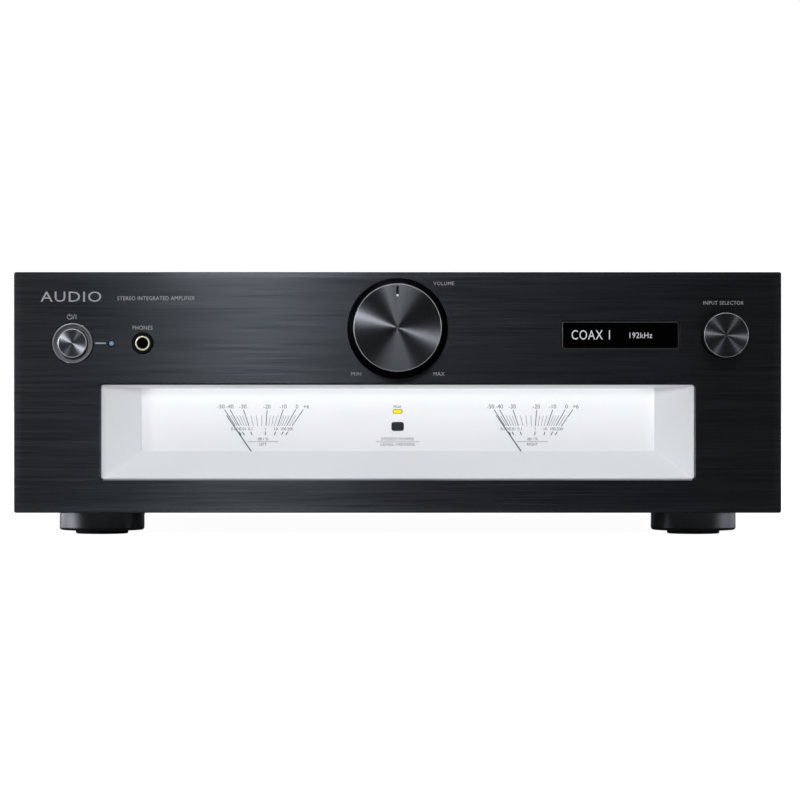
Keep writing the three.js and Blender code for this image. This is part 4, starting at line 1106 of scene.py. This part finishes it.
def top_cover():
    """One sheet: two sides, two bends and a lid with three fields of slots."""
    bend, steps, ease, slot_width = 2.6, 8, 0.25, 3.6
    low, top, front, back = COVER.z0, COVER.z1, COVER.y0, COVER.y1
    flat = COVER.width / 2 - bend
    section = [((-flat - bend, low), (1, 0))]
    for k in range(steps + 1):
        across, up = math.cos(math.pi / 2 * k / steps), math.sin(math.pi / 2 * k / steps)
        section.append(((-flat - bend * across, top - bend + bend * up), (across, -up)))
    section += [((-x, z), (-across, down)) for (x, z), (across, down) in reversed(section)]
    lid = len(section) // 2 - 1
    last = len(section) - 1
    shape = Shape()

    def quad(*corners):
        """A face from corners of (place in the section, y, depth in the sheet)."""
        points = []
        for i, y, depth in corners:
            (x, z), (across, down) = section[i]
            points.append((x + across * depth, y, z + down * depth))
        shape.add(points, [(0, 1, 2, 3)])

    for i in range(last):
        for y in (front, back):
            quad((i, y, 0), (i + 1, y, 0), (i + 1, y, SHEET), (i, y, SHEET))
        if i != lid:
            for depth in (0, SHEET):
                quad((i, front, depth), (i + 1, front, depth), (i + 1, back, depth), (i, back, depth))
    for i in (0, last):
        quad((i, front, 0), (i, back, 0), (i, back, SHEET), (i, front, SHEET))
    edge = [(-flat, front), (flat, front), (flat, back), (-flat, back)]
    slots = [slot_outline(x - 45, x + 45, y, y + slot_width)
             for x in (-122, 0, 122) for y in range(10, 142, 12)]
    place = facing_up(top)
    fill(shape, place, [edge] + [slot(ease) for slot in slots], 0)
    fill(shape, place, [edge] + [slot(0) for slot in slots], SHEET)
    for slot in slots:
        wall(shape, place, slot, [(ease, 0), (0, ease), (0, SHEET)])
    piece("top_cover_sheet", shape, [CASE_PAINT], stands_for=["top_cover"], crease=25)


def screw(shape, place, u, v, radius, height):
    """A pan head with a cross recess; place maps (u, v, depth), and depth is 0 on the head's face."""
    edge = [(-radius * 0.28, 0), (-radius * 0.12, 0.1 * height), (-radius * 0.03, 0.35 * height),
            (0, 0.65 * height), (0, height)]
    recess = (cross(u, v, radius * 1.05, radius * 0.28), [(0, 0), (-0.04, 0.6 * height)])
    plate(shape, place, (circle(u, v, radius, 32), edge), pockets=[recess], hole_look=1)


def shank(shape, x0, x1, y, z, radius):
    """A threaded shank along X, its thread as shallow rings."""
    steps, thread = 28, 0.22
    rings = []
    for k in range(steps + 1):
        x = x0 + (x1 - x0) * k / steps
        r = radius - thread * (k % 2)
        rings.append([(x, y + r * math.cos(a), z + r * math.sin(a)) for a in round_about(16)])
    loft(shape, rings, capped=True)


def cover_screws():
    head = 1.9  # its height, and the radius of the shank
    for side, facing, inwards in (("left", facing_left, 1), ("right", facing_right, -1)):
        for row in ("front", "rear"):
            node = f"cover_screw_{side}_{row}"
            box_ = cad(node)
            face, end = (box_.x0, box_.x1)[::inwards]
            shape = Shape()
            screw(shape, facing(face), box_.y, box_.z, box_.depth / 2, head)
            shank(shape, face + inwards * head, end, box_.y, box_.z, head)
            # Painted shade: the cross recesses take the deep black, darker than the heads.
            piece(f"{node}_pan_head", shape, [SCREW_BLACK, BLACK_AND_RECESS_SHADE], stands_for=[node])


def foot(name):
    """One round foot, hollowed for its pad, and the pad. The foot is returned for the lighting."""
    top, pad = cad(f"foot_{name}"), cad(f"foot_pad_{name}")
    hollow = pad.radius + GAP
    shape = Shape()
    turn(shape, top, [(0, pad.z1 + GAP), (hollow, pad.z1 + GAP), (hollow, top.z0, 0.3),
                      (top.radius, top.z0, 1.6), (top.radius, top.z1, 0.5), (0, top.z1)], 160, arc=6,
         upright=True)
    made = piece(f"foot_{name}_turned", shape, [FOOT_METAL], stands_for=[f"foot_{name}"],
                 origin=middle_of(top))
    shape = Shape()
    turn(shape, pad, [(0, pad.z0), (pad.radius, pad.z0, 0.8), (pad.radius, pad.z1, 0.3), (0, pad.z1)], 96,
         upright=True)
    piece(f"foot_pad_{name}_rubber", shape, [RUBBER], stands_for=[f"foot_pad_{name}"],
          origin=middle_of(pad))
    return made


# ---------------------------------------------------------------- rear

INLET = cad("mains_inlet")
LINE = cad("line_jacks")
DIGITAL = cad("digital_sockets")
GROUND = cad("ground_terminal")
BLOCK = cad("speaker_terminal_block")
FLANGE = 2  # thickness of a socket block's flange
OUT = REAR.y1 + GAP  # the plane that the sockets' flanges stand on
SOCKET_FACE = OUT + FLANGE


def rear_panel():
    """The sheet with its openings for the sockets, and a row of upright slots."""
    narrow = bored(SHEET, radius=0.1)
    holes = [(rounded_box(box_, 1.0, GAP - 2), narrow) for box_ in (LINE, DIGITAL, INLET)]
    holes += [(circle(BLOCK.x + offset, BLOCK.z, 4.5, 32), narrow) for offset in TERMINAL_OFFSETS]
    holes.append((circle(GROUND.x, GROUND.z, 2.3, 24), narrow))
    holes += [(slot_outline(x, x + 3.6, 98, 128), bored(SHEET, radius=0.2)) for x in range(-120, 24, 12)]
    shape = Shape()
    edge = (rounded_box(REAR, 2.0), eased(SHEET, radius=0.3, back_radius=0.1))
    plate(shape, facing_rear(REAR.y1), edge, holes)
    piece("rear_panel_sheet", shape, [CASE_PAINT], stands_for=["rear_panel"])


def rear_screws():
    """Small screws at the corners of each socket block, and larger ones by the inlet and along the edges."""
    small, large = 0.9, 1.3  # the heights of their heads
    shape = Shape()
    for box_, inset in ((LINE, 3.6), (DIGITAL, 3.2)):
        for x in (box_.x0 + inset, box_.x1 - inset):
            for z in (box_.z0 + inset, box_.z1 - inset):
                screw(shape, facing_rear(SOCKET_FACE + small), x, z, 1.9, small)
    places = [(x, INLET.z) for x in (INLET.x0 - 5, INLET.x1 + 5)]
    places += [(x, z) for x in (-190, -100, 60, 190) for z in (138, 21)]
    for x, z in places:
        screw(shape, facing_rear(REAR.y1 + large), x, z, 2.6, large)
    # Painted shade: the cross recesses take the deep black, darker than the heads.
    piece("rear_panel_screws", shape, [SCREW_BLACK, BLACK_AND_RECESS_SHADE])


def phono(shells, collars, collar_look, x, z):
    """A phono socket: a coloured collar, a plated barrel, and for its hole a flat disc of painted shade."""
    at = SimpleNamespace(x=x, z=z)
    base = SOCKET_FACE
    tip = base + 8.7
    turn(shells, at, [
        (0, tip, 0, 1), (0.9, tip), (1.6, tip), (1.6, tip + 0.2, 0.2), (4.15, tip + 0.3, 0.6),
        (4.15, base + 2.2, 0.1), (3.6, base + 1.9, 0.1), (3.6, base), (0, base),
    ], 40)
    ring = [(3.7, base), (5.6, base), (5.6, base + 1.3), (5.2, base + 1.7), (3.7, base + 1.7)]
    turn(collars, at, [(radius, along, 0, collar_look) for radius, along in ring], 40, closed=True)


def socket_block(box_):
    """The flange of a socket block and its body behind it."""
    shape = Shape()
    plate(shape, facing_rear(SOCKET_FACE), (rounded_box(box_, 2.0), eased(FLANGE, radius=0.4)))
    plate(shape, facing_rear(OUT), (rounded_box(box_, 1.0, -2), [(0, 0), (0, 10)]))
    return shape


def line_jacks():
    block, shells, collars = socket_block(LINE), Shape(), Shape()
    for column in range(4):
        for row, up in enumerate((-9.5, 9.5)):
            phono(shells, collars, row, LINE.x + LINE_PITCH * (column - 1.5), LINE.z + up)
    piece("line_jack_block", block, [BLACK_PLASTIC], stands_for=["line_jacks"])
    piece("line_jack_shells", shells, [GOLD, BLACK_AND_RECESS_SHADE])
    piece("line_jack_collars", collars, [RED_RING, WHITE_RING])


def about(x, z, width, height, corner):
    """A rounded rectangle about a point."""
    return rounded_rectangle(x - width / 2, x + width / 2, z - height / 2, z + height / 2, corner)


def digital_sockets():
    """Two coaxial sockets, two optical ones and a square data socket."""
    block, shells, collars, usb = socket_block(DIGITAL), Shape(), Shape(), Shape()
    z = DIGITAL.z
    for offset in (-38, -23):
        phono(shells, collars, 0, DIGITAL.x + offset, z)
    for offset, width, height, rim in ((-6, 6.4, 6.4, 2.3), (9, 6.4, 6.4, 2.3), (USB_OFFSET, 8.6, 7.8, 2.0)):
        x = DIGITAL.x + offset
        edge = (about(x, z, width + 2 * rim, height + 2 * rim, 1.0), eased(1.0, radius=0.3, back_radius=0.05))
        cavity = (about(x, z, width, height, 0.6), [(0.3, 0), (0, 0.3), (0, 0.9)])
        # Painted shade: the cavities take the block's deep black look, darker than the block.
        plate(block, facing_rear(SOCKET_FACE + 1), edge, pockets=[cavity], hole_look=1)
    x = DIGITAL.x + USB_OFFSET
    straight = [(0, 0), (0, 1.0)]
    plate(usb, facing_rear(SOCKET_FACE + 1.1), (about(x, z, 8.6, 7.8, 0.8), straight),
          through=[(about(x, z, 7.8, 7.0, 0.6), straight)])
    box(usb, x - 2.8, x + 2.8, SOCKET_FACE + 0.2, SOCKET_FACE + 0.9, z - 1.4, z + 1.4, 1)
    piece("digital_socket_block", block, [BLACK_PLASTIC, BLACK_AND_RECESS_SHADE],
          stands_for=["digital_sockets"])
    piece("digital_socket_shells", shells, [GOLD, BLACK_AND_RECESS_SHADE])
    piece("digital_socket_collars", collars, [ORANGE_RING])
    piece("usb_socket_shell", usb, [STEEL, WHITE_RING])


def mains_inlet():
    """The appliance inlet: a flange, a deep cavity with two cut corners, and three flat pins."""
    x, z, face, deep = INLET.x, INLET.z, INLET.y1, 15.5

    def cavity(grow=0.0):
        a, b, cut = 12.3 + grow, 8.2 + grow, 4.5
        return [(x - a, z - b), (x + a, z - b), (x + a, z + b - cut), (x + a - cut, z + b),
                (x - a + cut, z + b), (x - a, z + b - cut)]

    shape = Shape()
    # Painted shade: the cavity takes the deep black look, darker than the shell.
    plate(shape, facing_rear(face), (rounded_box(INLET, 2.5), eased(FLANGE, radius=0.5)),
          pockets=[(cavity, [(0.5, 0), (0, 0.5), (0, FLANGE - 0.1)])], hole_look=1)
    plate(shape, facing_rear(OUT), (rounded_box(INLET, 1.0, -2), [(0, 0), (0, deep + 1)]),
          pockets=[(cavity, [(0, 0), (0, deep - FLANGE)])], hole_look=1)
    piece("mains_inlet_shell", shape, [BLACK_PLASTIC, BLACK_AND_RECESS_SHADE],
          stands_for=["mains_inlet"])
    pins = Shape()
    for across, up in ((-7, -1), (7, -1), (0, 4)):
        outline = rounded_rectangle(x + across - 1, x + across + 1, z + up - 2, z + up + 2, 0.3, 3)
        plate(pins, facing_rear(face - 3), (outline, [(-0.4, 0), (0, 0.6), (0, deep - 4)]))
    piece("mains_inlet_pins", pins, [STEEL])


def ground_terminal():
    """A knurled thumb screw on its stud."""
    stud, base, end, radius = 2, OUT + 1, GROUND.y1, GROUND.radius
    shape = Shape()
    turn(shape, GROUND, [
        (0, GROUND.y0), (stud, GROUND.y0), (stud, base), (radius - 0.5, base, 0.1),
        (radius - 0.5, base + 1.0, 0.1), (radius, base + 1.3, 0.1), (radius, end - 1.2, 0.2),
        (radius - 0.9, end, 0.2), (radius - 2.0, end - 0.1, 0.1), (0, end - 0.5),
    ], 160, arc=3, ripple=ribbed(40, 0.22))
    piece("ground_terminal_knurled", shape, [GOLD], "ground_screw", ["ground_terminal"],
          origin=middle_of(GROUND))


def speaker_terminals():
    """The block with a coloured collar and a stud for each terminal, and the terminals' own pieces."""
    stud, stud_base, gold = 2.9, REAR.y1 - 8, 3
    block = Shape()
    plate(block, facing_rear(OUT + 3), (rounded_box(BLOCK, 3.0), eased(3.0, radius=0.6)))
    for i, offset in enumerate(TERMINAL_OFFSETS):
        at = SimpleNamespace(x=BLOCK.x + offset, z=BLOCK.z)
        washer, cap = cad(f"speaker_washer_{i + 1}"), cad(f"speaker_cap_{i + 1}")
        colour = 1 + i % 2
        collar, tip = washer.y0 - GAP, cap.y1 - 1.9
        turn(block, at, [(8.4, OUT + 2.5, 0, colour), (8.4, collar, 0.4, colour), (stud, collar, 0, gold),
                         (stud, tip, 0.3, gold), (0, tip, 0, gold)], 64)
        turn(block, at, [(stud, stud_base, 0, gold), (stud, OUT + 0.5, 0, gold)], 24)
        turn(block, at, [(0, stud_base, 0, gold), (stud, stud_base, 0, gold)], 24)
        speaker_washer(f"speaker_washer_{i + 1}", at, washer)
        speaker_cap(f"speaker_cap_{i + 1}", at, cap, colour)
    piece("speaker_terminal_base", block, [BLACK_PLASTIC, RED_RING, BLACK_PLASTIC, GOLD],
          stands_for=["speaker_terminal_block"])


def speaker_washer(name, at, washer):
    shape = Shape()
    turn(shape, at, [(TERMINAL_BORE, washer.y0), (washer.radius, washer.y0), (washer.radius, washer.y1),
                     (TERMINAL_BORE, washer.y1)], 64, closed=True)
    piece(f"{name}_plated", shape, [GOLD], name, [name], bevel=0.15)


def speaker_cap(name, at, cap, colour):
    """A knurled cap with a ring and a button in the terminal's colour."""
    start, end, radius = cap.y0, cap.y1, cap.radius
    shape = Shape()
    turn(shape, at, [
        (0, end - 1.5), (TERMINAL_BORE, end - 1.5), (TERMINAL_BORE, start, 0.2),
        (radius - 0.5, start, 0.2, colour), (radius - 0.5, start + 1.4), (radius, start + 1.6, 0.1),
        (radius, end - 1.0, 0.5), (radius - 1.2, end, 0.3), (3.4, end, 0.2, colour),
        (3.2, end - 0.35, 0, colour), (0, end - 0.35, 0, colour),
    ], 168, arc=3, ripple=ribbed(28, 0.4))
    piece(f"{name}_knurled", shape, [CAP_PLASTIC, RED_RING, BLACK_PLASTIC], name, [name],
          origin=middle_of(cap))


def rear_print():
    """Plain names of the sockets, in white ink."""
    low = DIGITAL.z0 - 4.4
    words = [(f"LINE {column + 1}", LINE.x + LINE_PITCH * (1.5 - column), LINE.z1 + 2.0, 2.2)
             for column in range(4)]
    words += [
        ("L", LINE.x1 + 2.6, LINE.z + 8.5, 2.2),
        ("R", LINE.x1 + 2.6, LINE.z - 10.5, 2.2),
        ("COAXIAL", DIGITAL.x - 30.5, low, 2.0),
        ("OPTICAL", DIGITAL.x + 1.5, low, 2.0),
        ("USB", DIGITAL.x + USB_OFFSET, low, 2.0),
        ("GND", GROUND.x, GROUND.z0 - 5.0, 2.0),
        ("AC IN", INLET.x, INLET.z1 + 3.0, 2.4),
        ("SPEAKERS", BLOCK.x, BLOCK.z1 + 7.0, 2.6),
    ]
    words += [(sign, BLOCK.x + offset, BLOCK.z1 + 2.2, 2.6) for offset, sign in zip(TERMINAL_OFFSETS, "+-+-")]
    shape = Shape()
    printed(shape, REAR.y1, words, rear=True)
    piece("rear_print", shape, [REAR_INK])


# ---------------------------------------------------------------- studio, in metres

FRONT = FACE / 1000
MIDDLE = (0, FRONT, 0.09)  # what the lamps in front look at
LAMPS_Y = -2.19  # the lamps in front stand in one plane, with the camera
CAMERA_DISTANCE = 2.0
CAMERA_X = 0.00135
CAMERA_HEIGHT = 0.0746

# Where each turned face shines: degrees round from +X, spread in degrees, and watts.
VOLUME_GLEAMS = [(162, 6, 13.5), (171, 12, 3.0), (105, 8, 4.2), (85, 22, 6.0), (66, 10, 2.0)]
SELECTOR_GLEAMS = [(174, 2, 7.0), (130, 5, 3.2), (57, 3, 3.0)]
BUTTON_GLEAMS = [(150, 10, 26.0), (138, 12, 7.0), (58, 6, 4.0)]


def area_light(name, place, target, width, height, watts, objects=(), state="INCLUDE"):
    """A rectangular lamp that lights only some objects (INCLUDE), or all but some (EXCLUDE)."""
    data = bpy.data.lights.new(name, "AREA")
    data.shape = "RECTANGLE"
    data.size = width
    data.size_y = height
    data.energy = watts
    obj = bpy.data.objects.new(name, data)
    obj.location = place
    obj.rotation_mode = "QUATERNION"
    obj.rotation_quaternion = (Vector(target) - Vector(place)).to_track_quat("-Z", "Y")
    bpy.context.scene.collection.objects.link(obj)
    if objects:
        group = bpy.data.collections.new(name + "_receivers")
        for receiver in objects:
            group.objects.link(receiver)
        obj.light_linking.receiver_collection = group
        for member in group.collection_objects:
            member.light_linking.link_state = state


def floor():
    """A plain pale floor that stays bright, so that shadows on it are faint."""
    mesh = bpy.data.meshes.new("floor")
    reach = 30
    mesh.from_pydata([(-reach, -reach, 0), (reach, -reach, 0), (reach, reach, 0), (-reach, reach, 0)], [],
                     [(0, 1, 2, 3)])
    look = Look("pale_floor", (0.35, 0.35, 0.35), 0.9, Specular_IOR_Level=0.0, Emission_Color=(1, 1, 1, 1))
    seen = look.node("ShaderNodeLightPath").outputs["Is Camera Ray"]
    look.link("Emission Strength", look.spread(seen, 0.0, 0.97, 0.0, 1.0))
    mesh.materials.append(look.material)
    obj = bpy.data.objects.new("floor", mesh)
    bpy.context.scene.collection.objects.link(obj)


def surroundings():
    """Even white light from behind and above, less from in front; plain white where the camera sees past."""
    world = bpy.data.worlds.new("studio")
    bpy.context.scene.world = world
    world.use_nodes = True
    world.node_tree.nodes.clear()
    nodes = Nodes(world.node_tree)
    white = (1, 1, 1, 1)
    towards = nodes.axes(nodes.node("ShaderNodeTexCoord").outputs["Generated"])
    behind = nodes.spread(towards["Y"], 0.11, 0.6, -0.3, 0.5, soft=True)
    overhead = nodes.spread(towards["Z"], 0.0, 0.9, 0.6, 1.0, soft=True)
    strength = nodes.maths("ADD", behind, overhead)
    lighting = nodes.node("ShaderNodeBackground", Color=white, Strength=strength).outputs["Background"]
    backdrop = nodes.node("ShaderNodeBackground", Color=white, Strength=1.05).outputs["Background"]
    seen = nodes.node("ShaderNodeLightPath").outputs["Is Camera Ray"]
    mixed = nodes.node("ShaderNodeMixShader", seen, lighting, backdrop).outputs["Shader"]
    nodes.node("ShaderNodeOutputWorld", Surface=mixed)


def camera():
    """Level with the middle of the case, in front of the panel."""
    seen_height, sensor = 0.4516, 36
    data = bpy.data.cameras.new("camera")
    data.sensor_fit = "VERTICAL"
    data.sensor_height = sensor
    data.sensor_width = sensor
    data.lens = sensor * CAMERA_DISTANCE / seen_height
    obj = bpy.data.objects.new("camera", data)
    obj.location = (CAMERA_X, FRONT - CAMERA_DISTANCE, CAMERA_HEIGHT)
    obj.rotation_euler = (math.pi / 2, 0, 0)
    bpy.context.scene.collection.objects.link(obj)
    bpy.context.scene.camera = obj


def gleams(knob, centre, settings):
    """Lamps for one turned face, each placed so that a sector of the face shines at the front camera."""
    reach = 0.6
    x, z = centre.x / 1000, centre.z / 1000
    for k, (angle, spread, watts) in enumerate(settings):
        turned = math.radians(angle)
        place = (2 * x + reach * math.cos(turned), LAMPS_Y, 2 * z - CAMERA_HEIGHT + reach * math.sin(turned))
        size = reach * math.radians(spread)
        area_light(f"{knob.name}_gleam_{k + 1}", place, (x, FRONT, z), size, size, watts, [knob])


def panel_lamps(unlit, recess_pieces):
    """Small lamps in front, that the brushed panel stretches into its long gleam."""
    area_light("left_front", (-0.8, LAMPS_Y, 0.4), MIDDLE, 0.08, 0.08, 18.0, unlit + recess_pieces, "EXCLUDE")
    for name, x, z, width, height, watts in (
        ("overhead_left", -0.167, 0.65, 0.06, 0.2, 5.4),
        ("overhead_right", 0.09, 0.8, 0.34, 0.2, 1.0),
        ("upper_right", 1.0, 1.4, 0.1, 0.1, 4.0),
    ):
        area_light(name, (x, LAMPS_Y, z), MIDDLE, width, height, watts, unlit, "EXCLUDE")
    area_light("recess_front", (-0.3, LAMPS_Y, 0.45), MIDDLE, 0.3, 0.3, 14.0, recess_pieces)


def side_lamps(feet_pieces):
    """A lamp on each side of the case, and one for the feet there."""
    for side, sign, case_watts, foot_watts in (("left", -1, 16.0, 14.0), ("right", 1, 7.0, 5.0)):
        area_light(f"{side}_side", (sign * 2.2, -0.25, 0.35), (sign * 0.2, -0.1, 0.05), 0.8, 0.7, case_watts)
        near = [made for made in feet_pieces if made.location.x * sign > 0]
        area_light(f"foot_{side}", (sign * 1.7, 0.15, 0.1), (sign * 0.17, -0.147, 0.01), 2.6, 0.2, foot_watts,
                   near)


def studio(feet_pieces, recess_pieces, knobs, ring):
    """The panel, knobs, ring, recess and feet each have lamps of their own; the rest of the light is soft."""
    floor()
    surroundings()
    panel_lamps(feet_pieces + knobs + [ring], recess_pieces)
    gleams(knobs[0], VOLUME, VOLUME_GLEAMS)
    gleams(knobs[1], SELECTOR, SELECTOR_GLEAMS)
    gleams(knobs[2], BUTTON, BUTTON_GLEAMS)
    area_light("over_ring", (-0.5, -1.9, 1.0), (RING.x / 1000, FRONT, RING.z / 1000), 0.3, 0.3, 26.0, [ring])
    side_lamps(feet_pieces)
    area_light("top_fill", (0, 0.6, 1.9), (0, 0.1, 0), 1.0, 1.0, 9.0)
    area_light("rear_fill", (0.5, 2.0, 1.2), (0, 0.2, 0.07), 1.0, 0.8, 8.0)
    bpy.context.scene.view_settings.view_transform = "Standard"


keep_cad_nodes()
front_panel()
recess_pieces = [meter_surround(), frame["nodes"]["meter_dial"]]
meter_print()
panel_print()
display()
knobs = [volume_knob(), selector_knob(), power_button()]
ring = power_ring()
power_spring()
power_light()
headphone_socket()
top_cover()
cover_screws()
feet_pieces = [foot(f"{row}_{side}") for row in ("front", "rear") for side in ("left", "right")]
rear_panel()
rear_screws()
line_jacks()
digital_sockets()
mains_inlet()
ground_terminal()
speaker_terminals()
rear_print()
studio(feet_pieces, recess_pieces, knobs, ring)
camera()
